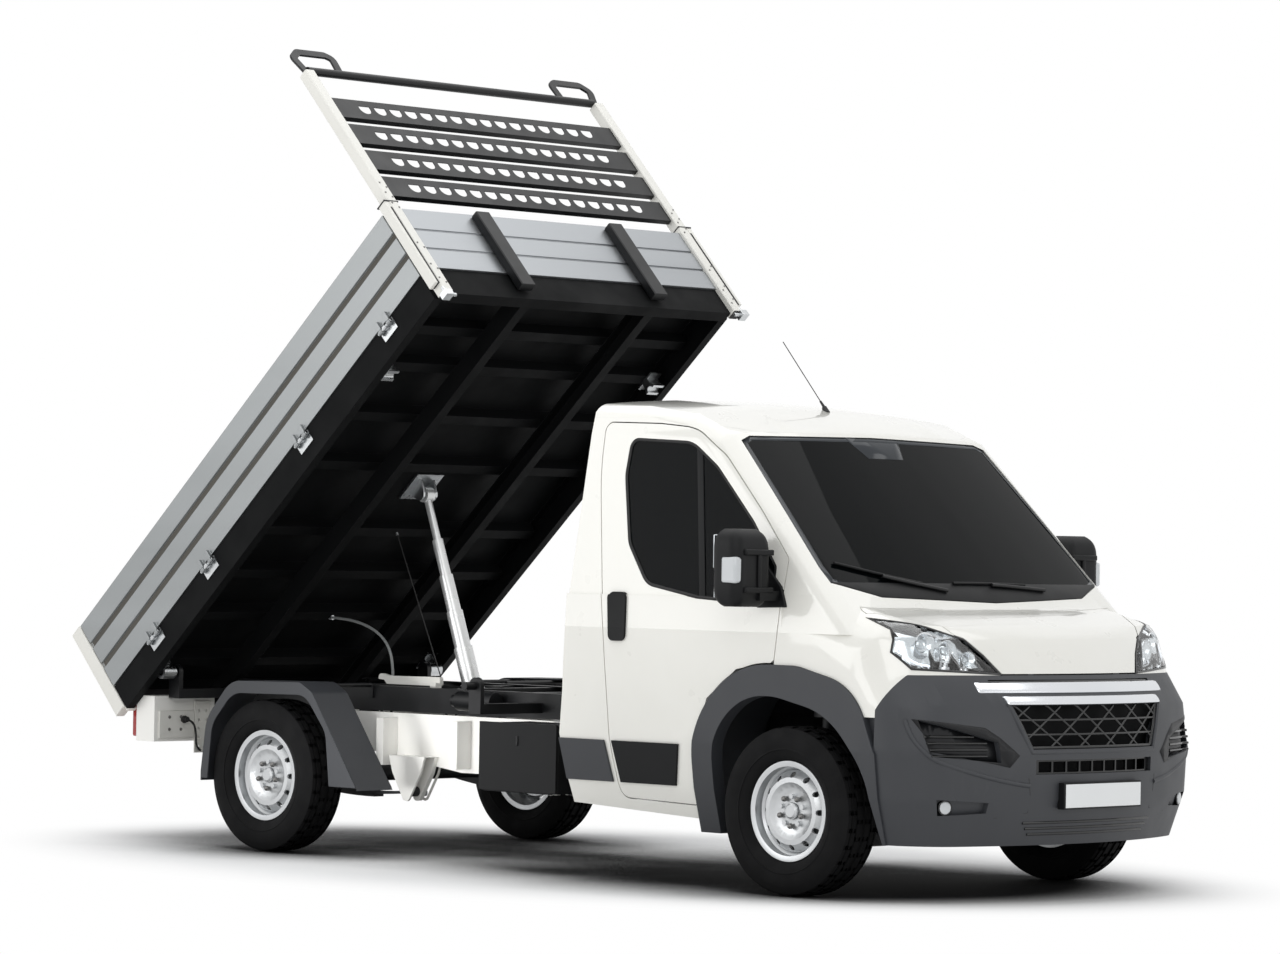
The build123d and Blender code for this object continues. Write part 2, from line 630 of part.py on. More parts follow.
# Chassis: channel rails, cross members, spring hangers and rear lamp carriers
rail_face = outline(RAIL_SIDE)
rail = side_slab(rail_face, RAIL_X - RAIL_WIDTH / 2, RAIL_X + RAIL_WIDTH / 2)
rail = rail - side_slab(offset(rail_face, -RAIL_WALL), RAIL_X - RAIL_WIDTH, RAIL_X + RAIL_WIDTH / 2 - RAIL_WALL)
frame_bits = pair(rail)
rail_inside = RAIL_X + RAIL_WIDTH / 2 - RAIL_WALL
for y, low, high in CROSS_MEMBERS:
    frame_bits.append(block(-rail_inside, rail_inside, y - 30, y + 30, low, high))
rail_outside = RAIL_X + RAIL_WIDTH / 2
for points in (FRONT_HANGER, REAR_HANGER):
    hanger = side_prism(points, rail_outside, SPRING_X + SPRING_WIDE / 2 + 12)
    slot_half = SPRING_WIDE / 2 + SEAT_GAP
    hanger = hanger - block(SPRING_X - slot_half, SPRING_X + slot_half, 2000, 4600, 100, SPRING_SLOT_TOP)
    frame_bits += pair(hanger)
for y in OUTRIGGER_YS:
    frame_bits += pair(block(rail_outside, 560, y - 25, y + 25, 430, 660))
carrier = block(rail_outside, 956, 4440, 4452, 500, 728) + block(CARRIER_X, 956, 4314, 4452, 500, 728)
lamp_box = carrier - block(CARRIER_X + 6, 950, 4320, 4440, 506, 800)
frame_bits += pair(lamp_box)
tow_y, tow_low, tow_high = CROSS_MEMBERS[-1]
tow_holes = []
for x in (-TOW_SPACING[0] / 2, TOW_SPACING[0] / 2):
    for z in (-TOW_SPACING[1] / 2, TOW_SPACING[1] / 2):
        middle = (tow_low + tow_high) / 2
        tow_holes.append(rod((x, tow_y - 40, middle + z), (x, tow_y + 40, middle + z), TOW_HOLE_RADIUS))
keep("chassis_frame", join(frame_bits) - tow_holes)
lamp = fillet(block(CARRIER_X + 10, 940, 4452, 4500, 520, 700).edges().filter_by(Axis.Y), 12)
keep("rear_lamps", group(pair(lamp)))

# Suspension: front crossmember, lower arms and struts; rear beam on leaf springs
king_x = TRACK_FRONT / 2 - KINGPIN_INSET
cross_beam = block(-500, 500, -60, 90, 205, 262)
arm_plan = [(490, -100), (490, 150), (700, 42), (king_x + 22, 24), (king_x + 22, -24), (700, -38)]
arm = plan_prism(arm_plan, 214, 236) - rod((king_x, 0, 200), (king_x, 0, 250), KING_PIN + SPINDLE_FIT)
strut_foot = block(STRUT_X - 28, king_x + 22, -26, 26, 524, 546)
strut_foot = strut_foot - rod((king_x, 0, 500), (king_x, 0, 560), KING_PIN + SPINDLE_FIT)
strut = rod((STRUT_X, 0, 546), (STRUT_X, 0, STRUT_TOP), 24) + rod((STRUT_X, 0, 780), (STRUT_X, 0, 975), 62)
posts = block(400, 440, -50, 50, 262, 330)
front_bits = [cross_beam]
for piece in (arm, posts):
    front_bits += pair(piece)
beam_half = TRACK_REAR / 2 - 105
beam = rod((-beam_half, WHEELBASE, AXLE_HEIGHT), (beam_half, WHEELBASE, AXLE_HEIGHT), BEAM_RADIUS)
spindle_end = TRACK_REAR / 2 + 26
rear_bits = [beam, rod((-spindle_end, WHEELBASE, AXLE_HEIGHT), (spindle_end, WHEELBASE, AXLE_HEIGHT), SPINDLE_RADIUS)]
leaf_edge = [(SPRING_EYES[0][0], SPRING_EYES[0][1]), (WHEELBASE, SPRING_SEAT), (SPRING_EYES[1][0], SPRING_EYES[1][1])]
main_leaf = Curve() + [
    ThreePointArc(*leaf_edge),
    Line(leaf_edge[2], (leaf_edge[2][0], leaf_edge[2][1] + SPRING_LEAF)),
    ThreePointArc(*[(y, z + SPRING_LEAF) for y, z in reversed(leaf_edge)]),
    Line((leaf_edge[0][0], leaf_edge[0][1] + SPRING_LEAF), leaf_edge[0]),
]
spring_low = SPRING_X - SPRING_WIDE / 2
spring_high = SPRING_X + SPRING_WIDE / 2
leaf = side_slab(make_face(main_leaf), spring_low, spring_high)
helper = leaf.moved(Location((0, 0, -SPRING_LEAF))) & block(0, 900, WHEELBASE - 330, WHEELBASE + 330, 100, 600)
seat_top = AXLE_HEIGHT - BEAM_RADIUS + 4
seat = block(spring_low, spring_high, WHEELBASE - 60, WHEELBASE + 60, SPRING_SEAT + SPRING_LEAF - 2, seat_top)
eyes = [rod((spring_low, y, z + SPRING_LEAF / 2), (spring_high, y, z + SPRING_LEAF / 2), 24) for y, z in SPRING_EYES]
for piece in [leaf, helper, seat] + eyes:
    rear_bits += pair(piece)
keep("suspension", group([join(front_bits)] + pair(join([strut_foot, strut])) + [join(rear_bits)]))

# Knuckles with their spindles, kingpins and steering arms
knuckle = block(king_x - 20, king_x + 22, -42, 42, 238, 522)
knuckle = knuckle + rod((king_x, 0, 215), (king_x, 0, 545), KING_PIN)
knuckle = knuckle + rod((king_x, 0, AXLE_HEIGHT), (TRACK_FRONT / 2 + 26, 0, AXLE_HEIGHT), SPINDLE_RADIUS)
knuckle = knuckle + block(king_x - 20, king_x + 5, 30, 150, 280, 300)
keep("knuckle_left", knuckle)
keep("knuckle_right", mirror(knuckle, Plane.YZ))

# Wheels, drawn about the x axis with the street side at +x
half_rim = RIM_WIDTH / 2
half_tyre = TYRE_WIDTH / 2
tyre_profile = [
    (-half_rim, 204), (-half_rim, 221.5), (-half_tyre, 300), (-103, 350), (-74, TYRE_RADIUS),
    (74, TYRE_RADIUS), (103, 350), (half_tyre, 300), (half_rim, 221.5), (half_rim, 204),
    (62, 204), (62, 226), (96, 300), (84, 343), (-84, 343), (-96, 300), (-62, 226), (-62, 204),
]
rim_profile = [
    (-84, 212), (-84, 220), (-76.4, 220), (-76.4, 203.6), (-46, 203.6), (-30, 186), (20, 186), (36, 203.6),
    (76.4, 203.6), (76.4, 220), (84, 220), (84, 212), (81, 196), (38, 196), (24, 178), (-34, 178), (-50, 196), (-81, 196),
]
disc_profile = [
    (22, 179), (36, 179), (66, 148), (67, 126), (52, 100), (52, HUB_BORE_RADIUS), (44, HUB_BORE_RADIUS), (44, 104),
    (57, 130), (56, 144), (28, 172), (22, 173),
]
hub_profile = [
    (44, 0), (60, 0), (60, 30), (56, 36), (44, 36), (44, 78), (30, 78), (30, 88), (10, 88), (10, BRAKE_DISC_RADIUS),
    (-14, BRAKE_DISC_RADIUS), (-14, 46), (-30, 46), (-30, SPINDLE_RADIUS + SPINDLE_FIT), (30, SPINDLE_RADIUS + SPINDLE_FIT), (30, 0),
]


def spun(profile):
    """A ring from an x, radius profile, turned about the x axis."""
    return revolve(make_face(Polyline(*profile, close=True)), Axis.X)


tyre = spun(tyre_profile)
rim = spun(rim_profile) + spun(disc_profile) + spun(hub_profile)
vents = []
for number in range(VENT_COUNT):
    turn = Rot(number * 360 / VENT_COUNT, 0, 0)
    vents.append(turn * rod((10, 0, VENT_CIRCLE / 2), (80, 0, VENT_CIRCLE / 2), VENT_RADIUS))
for number in range(STUD_COUNT):
    turn = Rot(number * 360 / STUD_COUNT, 0, 0)
    rim = rim + turn * rod((40, 0, STUD_CIRCLE / 2), (66, 0, STUD_CIRCLE / 2), 11)
rim = rim - vents
for end, y, track in (("front", 0, TRACK_FRONT), ("rear", WHEELBASE, TRACK_REAR)):
    place = Pos(track / 2, y, AXLE_HEIGHT)
    keep_both(f"tyre_{end}", place * tyre)
    keep_both(f"rim_{end}", place * rim)

# Tipper subframe with the ram's cradle, the rear pivot lugs and the front rests
sub_in = SUB_X - SUB_WIDTH / 2
sub_out = SUB_X + SUB_WIDTH / 2
channel = block(sub_in, sub_out, SUB_FRONT, SUB_REAR, SUB_LOW, SUB_TOP)
channel = channel - block(sub_in - 5, sub_out - 6, SUB_FRONT - 5, SUB_REAR + 5, SUB_LOW + 6, SUB_TOP - 6)
sub_bits = pair(channel)
for y in SUB_CROSS_YS:
    sub_bits.append(block(-sub_out + 6, sub_out - 6, y - 30, y + 30, SUB_LOW + 6, SUB_TOP - 6))
cradle_front, cradle_rear = SUB_CROSS_YS[2] + 30, SUB_CROSS_YS[3] - 30
cradle = block(CRADLE_X, CRADLE_X + 20, cradle_front, cradle_rear, SUB_LOW + 6, SUB_TOP)
cradle = cradle - rod((0, RAM_BASE_Y, RAM_BASE_Z), (200, RAM_BASE_Y, RAM_BASE_Z), RAM_TRUNNION + RAM_FIT)
sub_bits += pair(cradle)
lug_in, lug_out = LUG_X
for y in (REST_Y, PIVOT_Y):
    cross_beam = block(-lug_out, lug_out, y - LUG_HALF, y + LUG_HALF, BEAM_LOW, BEAM_TOP)
    lug = block(lug_in, lug_out, y - LUG_HALF, y + LUG_HALF, BEAM_TOP, PIVOT_Z)
    lug = lug + rod((lug_in, y, PIVOT_Z), (lug_out, y, PIVOT_Z), LUG_HALF)
    lug = lug + rod((lug_in, y, PIVOT_Z), (PIVOT_X + 20, y, PIVOT_Z), PIVOT_PIN)
    sub_bits += [cross_beam] + pair(lug)
mounts_under = [block(sub_in, sub_out, y - 40, y + 40, 684, SUB_LOW) for y in SUB_FOOT_YS]
for foot in mounts_under:
    sub_bits += pair(foot)
for y in STAY_YS:
    share = (y - GUARD_OUTER[2][0]) / (GUARD_OUTER[3][0] - GUARD_OUTER[2][0])
    guard_top_z = GUARD_OUTER[2][1] + share * (GUARD_OUTER[3][1] - GUARD_OUTER[2][1])
    stay_z = guard_top_z - GUARD_SKIN - STAY_RADIUS - SEAT_GAP
    sub_bits += pair(rod((sub_out + STAY_START, y, stay_z), (STAY_END, y, stay_z), STAY_RADIUS))
    sub_bits += pair(block(sub_out - 6, sub_out + 14, y - 20, y + 20, SUB_TOP - 60, stay_z))
sub_bits.append(block(-30, 30, VALVE_Y[0], VALVE_Y[1], SUB_TOP - 60, SUB_TOP))
sub_bits.append(rod((0, HOSE_ROUTE[-1][1], SUB_TOP - 6), (0, HOSE_ROUTE[-1][1], HOSE_ROUTE[-1][2] - 0.1), GLAND_RADIUS))
sub_bits.append(rod((0, CABLE_ENDS[1][1], SUB_TOP), (0, CABLE_ENDS[1][1], CABLE_ENDS[1][2] - 1.3), GLAND_RADIUS / 2))
keep("subframe", join(sub_bits))

# Pump unit, toolbox, fuel tank, exhaust and safety prop
pump = rod((-sub_out - 62, 2310, 760), (-sub_out - 62, 2560, 760), 48)
pump = pump + block(-sub_out - 62, -sub_out, 2350, 2520, 725, 795)
pump = pump + rod((-sub_out - 62, 2560, 760), (-sub_out - 62, 2600, 760), 30)
keep("pump_unit", pump)
box_x0, box_x1 = TOOLBOX_X
box_y0, box_y1 = TOOLBOX_Y
box_z0, box_z1 = TOOLBOX_Z
toolbox = block(-box_x1, -box_x0, box_y0, box_y1, box_z0, box_z1)
toolbox = toolbox - block(-box_x1 - 5, -box_x0 - 8, box_y0 + 8, box_y1 - 8, box_z0 + 8, box_z1 - 8)
for y in (box_y0 + 60, box_y1 - 60):
    toolbox = toolbox + block(-box_x0, -rail_outside, y - 25, y + 25, 600, 650)
keep("toolbox", toolbox)
lid = block(-box_x1 - 15, -box_x1 - SEAT_GAP, box_y0, box_y1, box_z0 + 4, box_z1 + 6)
lid = lid + rod((-box_x1 - 8, box_y0 + 30, box_z0 + 4), (-box_x1 - 8, box_y1 - 30, box_z0 + 4), 7)
keep("toolbox_lid", lid)
tank = fillet(block(-rail_edge, 40, 850, 1600, 340, 545).edges().filter_by(Axis.Y), 45)
keep("fuel_tank", tank)
pipe_route = FilletPolyline((180, -90, 380), (180, 0, 380), (180, 300, 290), (180, 1750, 290), (180, 2050, 360), radius=150)
pipe = sweep(Plane(origin=pipe_route @ 0, z_dir=pipe_route % 0) * Circle(28), path=pipe_route)
silencer = fillet(block(80, 280, 2050, 2440, 290, 425).edges().filter_by(Axis.Y), 60)
tail_route = FilletPolyline((180, 2440, 360), (180, 2800, 360), (180, 3150, 500), (180, 3950, 500), radius=150)
tail = sweep(Plane(origin=tail_route @ 0, z_dir=tail_route % 0) * Circle(28), path=tail_route)
keep("exhaust", pipe + silencer + tail)
prop = side_prism(PROP_OUTLINE, PROP_X - 12, PROP_X + 12)
prop = prop + block(PROP_X - 40, PROP_X, 2890, 2930, SUB_TOP - 100, SUB_TOP + 20)
keep("safety_prop", prop)

# Bed: steel floor on side rails, cross bearers and two longitudinals, drawn flat and tipped
rail_in = SIDE_RAIL_X - SIDE_RAIL_WIDE
side_rail = block(rail_in, SIDE_RAIL_X, -BED_LENGTH, 0, -RAIL_DEEP, -2)
side_rail = side_rail - block(rail_in - 5, SIDE_RAIL_X - 6, -BED_LENGTH - 5, 5, -RAIL_DEEP + 6, -16)
bed_bits = pair(side_rail)
bed_bits.append(block(-SIDE_RAIL_X, SIDE_RAIL_X, -BED_LENGTH, 0, FLOOR_TOP - FLOOR_PLATE, FLOOR_TOP))
bearer_low = FLOOR_TOP - FLOOR_PLATE - BEARER_DEEP
for along in BEARER_ALONGS:
    y0, y1 = -along - BEARER_WIDE / 2, -along + BEARER_WIDE / 2
    bed_bits.append(block(-rail_in - 6, rail_in + 6, y0, y1, bearer_low, FLOOR_TOP))
beam_low = SUB_X - SUB_WIDTH / 2
beam_high = SUB_X + SUB_WIDTH / 2
longitudinal = block(beam_low, beam_high, -BED_LENGTH, 0, LONGITUDINAL_LOW, bearer_low)
longitudinal = longitudinal - block(beam_low - 5, beam_high - 6, -BED_LENGTH - 5, 5, LONGITUDINAL_LOW + 6, bearer_low - 6)
bed_bits += pair(longitudinal)
post_in = POST_X - POST_SIZE / 2
front_rail = block(-post_in, post_in, -BED_LENGTH - 60, -BED_LENGTH, -170, FRONT_RAIL_TOP)
bed_bits.append(front_rail)
keep("bed_frame", tip(join(bed_bits)))

# Headboard of three extruded planks, white corner posts, black ladder rack
board = block(-post_in, post_in, HEADBOARD_Y, HEADBOARD_Y + HEADBOARD_THICK, FRONT_RAIL_TOP, HEADBOARD_TOP)
for height in BOARD_GROOVES:
    board = board - block(-1000, 1000, HEADBOARD_Y - 5, HEADBOARD_Y + GROOVE_DEEP, height - GROOVE_WIDE / 2, height + GROOVE_WIDE / 2)
keep("headboard", tip(board))
post = block(POST_X - POST_SIZE / 2, POST_X + POST_SIZE / 2, POST_Y, POST_Y + POST_SIZE, POST_LOW, POST_TOP)
post = chamfer(post.edges().filter_by(Axis.Z), 6)
rear_post = block(SIDE_OUTER - REAR_POST_WIDE, SIDE_OUTER, 4, 4 + REAR_POST_LONG, REAR_POST_LOW, SIDE_HEIGHT + 6)
rear_post = chamfer(rear_post.edges().filter_by(Axis.Z), 5)
rear_post = rear_post + block(946, SIDE_OUTER - 20, 0, 20, -RAIL_DEEP, -20)
stub_ends = (SIDE_OUTER - REAR_POST_WIDE - 26, SIDE_OUTER - REAR_POST_WIDE + 24)
stub_line = [(x, GATE_AXIS_Y, TAIL_AXIS_HEIGHT) for x in stub_ends]
rear_post = rear_post - rod(*stub_line, STUB_RADIUS + HINGE_FIT)
keep("corner_posts", tip(group(pair(post) + pair(rear_post))))
rack_bits = []
rack_half = post_in
for top in RACK_TOPS:
    plate = block(-rack_half, rack_half, POST_Y + 16, POST_Y + 16 + RACK_DEEP, top - RACK_TALL, top)
    hollow = block(-rack_half - 5, rack_half + 5, POST_Y + 16 + RACK_PLATE, POST_Y + 60, top - RACK_TALL + RACK_PLATE, top - RACK_PLATE)
    plate = plate - hollow
    holes = []
    for number in range(D_HOLES):
        x = (number - (D_HOLES - 1) / 2) * D_PITCH
        d_face = Pos(x, top - 46) * (Circle(D_RADIUS) & Pos(0, -D_RADIUS / 2) * Rectangle(2 * D_RADIUS, D_RADIUS))
        holes.append(front_slab(d_face, POST_Y, POST_Y + 16 + RACK_PLATE + 2))
    rack_bits.append(plate - holes)
tube_y = POST_Y + POST_SIZE / 2
rack_bits.append(rod((-RACK_TUBE_HALF, tube_y, RACK_TUBE_HEIGHT + 6), (RACK_TUBE_HALF, tube_y, RACK_TUBE_HEIGHT + 6), RACK_TUBE_RADIUS))
guard_path = FilletPolyline(*GUARD_BEND, radius=30)
guard_bar = sweep(Plane(origin=guard_path @ 0, z_dir=guard_path % 0) * Rectangle(40, 12), path=guard_path)
for hook in pair(guard_bar):
    rack_bits[-1] = rack_bits[-1] + hook
for x in (-UPRIGHT_X, UPRIGHT_X):
    upright = block(x - UPRIGHT_WIDE / 2, x + UPRIGHT_WIDE / 2, HEADBOARD_Y - UPRIGHT_DEEP, HEADBOARD_Y - 0.2, UPRIGHT_LOW, UPRIGHT_TOP)
    rack_bits.append(chamfer(upright.edges().filter_by(Axis.Z), 5))
keep("rack", tip(group(rack_bits)))

# Zinc fittings under the bed: side hinge knuckles with their pins, pivot sockets and the ram's bracket
fittings = []
for station in HINGE_STATIONS:
    y = -station
    pin = rod((HINGE_X, y - 55, HINGE_HEIGHT), (HINGE_X, y + 55, HINGE_HEIGHT), HINGE_PIN)
    leaf_plate = block(SIDE_RAIL_X, SIDE_RAIL_X + 6, y - 55, y + 55, -75, -10)
    web = block(SIDE_RAIL_X, HINGE_X, y - 10, y + 10, HINGE_HEIGHT - 8, HINGE_HEIGHT + 5)
    knuckle_ring = rod((HINGE_X, y - 10, HINGE_HEIGHT), (HINGE_X, y + 10, HINGE_HEIGHT), 13)
    fittings += pair(join([pin, leaf_plate, web, knuckle_ring]))
for along in (PIVOT_ALONG, FRONT_BALL_ALONG):
    socket = rod((PIVOT_X - 40, -along, -PIVOT_UNDER), (PIVOT_X + 40, -along, -PIVOT_UNDER), 34, PIVOT_PIN + SPINDLE_FIT)
    if along == FRONT_BALL_ALONG:
        socket = socket & block(0, 1200, -along - 50, -along + 50, -PIVOT_UNDER, 0)
    plate = block(PIVOT_X - 40, PIVOT_X + 40, -along - 60, -along + 60, -82, bearer_low)
    web = block(PIVOT_X - 40, PIVOT_X + 40, -along - 22, -along + 22, -PIVOT_UNDER + 26, -80)
    fittings += pair(join([socket, plate, web]))
ear = side_prism(EAR_OUTLINE, EAR_X, EAR_X + 12)
ear_plate = block(-90, 90, -RAM_HEAD_ALONG - 90, -RAM_HEAD_ALONG + 90, FLOOR_TOP - FLOOR_PLATE - 12, FLOOR_TOP - FLOOR_PLATE)
ram_pin = rod((-EAR_X, -RAM_HEAD_ALONG, -RAM_HEAD_UNDER), (EAR_X, -RAM_HEAD_ALONG, -RAM_HEAD_UNDER), RAM_PIN)
fittings.append(join([ear_plate, ram_pin] + pair(ear)))
hose_start, hose_next = Vector(*HOSE_ROUTE[0]), Vector(*HOSE_ROUTE[1])
hose_gland = rod(hose_start, hose_start + (hose_start - hose_next).normalized() * 40, GLAND_RADIUS)
cable_start, cable_end = Vector(*CABLE_ENDS[0]), Vector(*CABLE_ENDS[1])
cable_gland = rod(cable_start, cable_start + (cable_start - cable_end).normalized() * 40, GLAND_RADIUS / 2)
under_bearers = tip(block(-100, 100, -2000, 0, bearer_low - 80, bearer_low))
glands = [hose_gland & under_bearers, cable_gland & under_bearers]
keep("bed_fittings", group([tip(group(fittings, 1000))] + glands, 100))

# Drop sides and tailgate
side_board = block(SIDE_OUTER - SIDE_THICK, SIDE_OUTER, -BED_LENGTH, -3, 2, SIDE_HEIGHT)
for height in GROOVE_HEIGHTS:
    groove = block(SIDE_OUTER - GROOVE_DEEP, SIDE_OUTER + 5, -4000, 5, height - GROOVE_WIDE / 2, height + GROOVE_WIDE / 2)
    side_board = side_board - groove
side_bits = [side_board]
for station in HINGE_STATIONS:
    for shift in (-36, 36):
        y = -station + shift
        strap = block(SIDE_OUTER - 4, HINGE_X + 6, y - 12, y + 12, HINGE_HEIGHT + 20, 30)
        strap = strap + rod((HINGE_X, y - 12, HINGE_HEIGHT), (HINGE_X, y + 12, HINGE_HEIGHT), 13)
        strap = strap + block(HINGE_X - 6, HINGE_X + 6, y - 12, y + 12, HINGE_HEIGHT, 10)
        side_bits.append(strap - rod((HINGE_X, y - 20, HINGE_HEIGHT), (HINGE_X, y + 20, HINGE_HEIGHT), HINGE_PIN + HINGE_FIT))
drop_side = join(side_bits)
keep("drop_side_left", tip(drop_side))
keep("drop_side_right", tip(mirror(drop_side, Plane.YZ)))
gate_half = SIDE_OUTER - REAR_POST_WIDE - 6
gate = block(-gate_half, gate_half, GATE_Y, GATE_Y + TAIL_THICK, -10, SIDE_HEIGHT)
for height in GROOVE_HEIGHTS:
    gate = gate - block(-1100, 1100, GATE_Y + TAIL_THICK - GROOVE_DEEP, GATE_Y + 60, height - GROOVE_WIDE / 2, height + GROOVE_WIDE / 2)
gate = join([gate] + pair(rod(*stub_line, STUB_RADIUS)))
keep("tailgate", tip(gate))

# Telescopic ram: barrel in its cradle, five stages out to the head's eye
head_y, head_z = tipped_point(RAM_HEAD_ALONG, -RAM_HEAD_UNDER)
ram_length = math.hypot(head_y - RAM_BASE_Y, head_z - RAM_BASE_Z)
ram_lean = math.degrees(math.atan2(head_y - RAM_BASE_Y, head_z - RAM_BASE_Z))
low_y = PIVOT_Y + PIVOT_ALONG - RAM_HEAD_ALONG
low_z = PIVOT_Z + PIVOT_UNDER - RAM_HEAD_UNDER
ram_short = math.hypot(low_y - RAM_BASE_Y, low_z - RAM_BASE_Z)
stage_travel = (ram_length - ram_short) / len(RAM_RADII)
ram_place = Pos(0, RAM_BASE_Y, RAM_BASE_Z) * Rot(-ram_lean, 0, 0)
barrel = rod((0, 0, -RAM_BARREL_BELOW), (0, 0, RAM_BARREL_ABOVE), RAM_BARREL_RADIUS)
barrel = barrel - rod((0, 0, -RAM_BARREL_BELOW + 12), (0, 0, RAM_BARREL_ABOVE + 5), RAM_RADII[0] + RAM_FIT)
for end in (-1, 1):
    barrel = barrel + rod((end * (RAM_BARREL_RADIUS - 6), 0, 0), (end * (CRADLE_X + 20), 0, 0), RAM_TRUNNION)
keep("ram_barrel", ram_place * barrel)
for number, radius in enumerate(RAM_RADII):
    bottom = -RAM_BARREL_BELOW + 16 + 4 * number + stage_travel * (number + 1)
    top = RAM_BARREL_ABOVE + 8 * (number + 1) + stage_travel * (number + 1)
    if number + 1 < len(RAM_RADII):
        stage = rod((0, 0, bottom), (0, 0, top), radius, RAM_RADII[number + 1] + RAM_FIT)
    else:
        stage = rod((0, 0, bottom), (0, 0, ram_length - RAM_EYE + 4), radius)
        eye = rod((-26, 0, ram_length), (26, 0, ram_length), RAM_EYE + 13)
        stage = stage + eye - rod((-40, 0, ram_length), (40, 0, ram_length), RAM_EYE)
    keep(f"ram_stage_{number + 1}", ram_place * stage)

# Hose and limit cable between the bed and the subframe
hose_radii = bend_radii(HOSE_ROUTE)
print("hose radii", [round(radius) for radius in hose_radii])
hose_path = FilletPolyline(*HOSE_ROUTE, radius=hose_radii)
hose = sweep(Plane(origin=hose_path @ 0, z_dir=hose_path % 0) * Circle(HOSE_RADIUS), path=hose_path)
keep("hose", hose)
keep("limit_cable", rod(CABLE_ENDS[0], CABLE_ENDS[1], CABLE_RADIUS))

# Everything moves so that the middle of its length is at y = 0, and is written out
boxes = [shape.bounding_box() for shape in NODES.values()]
middle_y = (min(box.min.Y for box in boxes) + max(box.max.Y for box in boxes)) / 2
os.makedirs("parts", exist_ok=True)
for name, shape in NODES.items():
    export_step(Pos(0, -middle_y, 0) * shape, f"parts/{name}.step")
print("middle y", round(middle_y, 3), "nodes", len(NODES))
print("ram", round(ram_length, 2), round(ram_short, 2), round(ram_lean, 3), round(stage_travel, 3))
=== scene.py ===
import bpy
import bmesh
import math
from mathutils import Matrix, Vector
from mathutils.bvhtree import BVHTree


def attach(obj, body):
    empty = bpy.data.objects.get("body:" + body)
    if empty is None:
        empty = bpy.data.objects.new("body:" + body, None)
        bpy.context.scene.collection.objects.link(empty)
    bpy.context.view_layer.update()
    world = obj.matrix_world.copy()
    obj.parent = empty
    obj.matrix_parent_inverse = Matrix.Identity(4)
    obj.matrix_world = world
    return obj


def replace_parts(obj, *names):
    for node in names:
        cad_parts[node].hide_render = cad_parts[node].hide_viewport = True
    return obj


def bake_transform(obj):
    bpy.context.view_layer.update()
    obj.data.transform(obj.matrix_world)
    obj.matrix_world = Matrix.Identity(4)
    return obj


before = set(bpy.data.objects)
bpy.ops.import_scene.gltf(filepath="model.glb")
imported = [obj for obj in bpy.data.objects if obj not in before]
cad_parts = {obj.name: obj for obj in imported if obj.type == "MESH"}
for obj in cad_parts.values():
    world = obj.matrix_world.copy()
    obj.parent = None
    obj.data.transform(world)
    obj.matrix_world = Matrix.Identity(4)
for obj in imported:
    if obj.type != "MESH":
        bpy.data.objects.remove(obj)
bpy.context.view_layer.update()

# Drawing numbers are metres from the front axle's middle on the ground, as in the part's source.
# CAB moves them into the shared frame, and BED also tips what is drawn on the bed lying flat.
AXLE_Y = -1.973424
CAB = Matrix.Translation((0, AXLE_Y, 0))
TIP_ANGLE = 42.44
TIP_PIVOT = (0, 4.267, 0.850)
BED_FROM_PIVOT = (0, 0.272, 0.140)
BED = (CAB @ Matrix.Translation(TIP_PIVOT) @ Matrix.Rotation(math.radians(-TIP_ANGLE), 4, "X")
       @ Matrix.Translation(BED_FROM_PIVOT))
BED_BACK = BED.inverted()

# Both sides of the truck, and each wheel's name, side and middle
SIDES = (("left", 1), ("right", -1))
WHEEL_RADIUS = 0.372
AXLES = (("front", 0.905, 0), ("rear", 0.895, 3.450))
WHEELS = [(f"{end}_{side}", sign, CAB @ Matrix.Translation((sign * half, y, WHEEL_RADIUS)))
          for end, half, y in AXLES for side, sign in SIDES]

# Camera at the photograph's place: position, turns in radians and focal length in the photograph's pixels
CAMERA_AT = (-16.1013, -13.6098, 1.50406)
YAW, PITCH, ROLL = 0.8047, 0.0156, 0.0169
FOCAL = 4649.8
PHOTO_WIDTH = 1280
SENSOR = 36


def placed(name, data):
    """A new object, linked to the scene."""
    thing = bpy.data.objects.new(name, data)
    bpy.context.scene.collection.objects.link(thing)
    return thing


def place_camera():
    """The photograph's camera."""
    ahead = Vector((math.cos(PITCH) * math.sin(YAW), math.cos(PITCH) * math.cos(YAW), math.sin(PITCH)))
    right = Vector((math.cos(YAW), -math.sin(YAW), 0))
    up = right.cross(ahead)
    turned_right = right * math.cos(ROLL) + up * math.sin(ROLL)
    turned_up = up * math.cos(ROLL) - right * math.sin(ROLL)
    data = bpy.data.cameras.new("camera")
    data.sensor_width = SENSOR
    data.lens = FOCAL / PHOTO_WIDTH * SENSOR
    data.clip_end = 200
    camera = placed("camera", data)
    turn = Matrix((turned_right, turned_up, -ahead)).transposed().to_4x4()
    camera.matrix_world = Matrix.Translation(CAB @ Vector(CAMERA_AT)) @ turn
    bpy.context.scene.camera = camera


place_camera()


# Materials. A patch of a finish's second colour is BLOTCH grains across
BLOTCH = 40


def linear(colour):
    """A linear colour from an sRGB hex value."""
    values = [int(colour[i:i + 2], 16) / 255 for i in (0, 2, 4)]
    return [v / 12.92 if v <= 0.04045 else ((v + 0.055) / 1.055) ** 2.4 for v in values] + [1]


def add(tree, kind, settings, inputs):
    """One shader node with its settings, its input values and its links."""
    node = tree.nodes.new(kind)
    for name, value in settings.items():
        setattr(node, name, value)
    for name, value in inputs.items():
        if isinstance(value, bpy.types.NodeSocket):
            tree.links.new(value, node.inputs[name])
        else:
            node.inputs[name].default_value = value
    return node


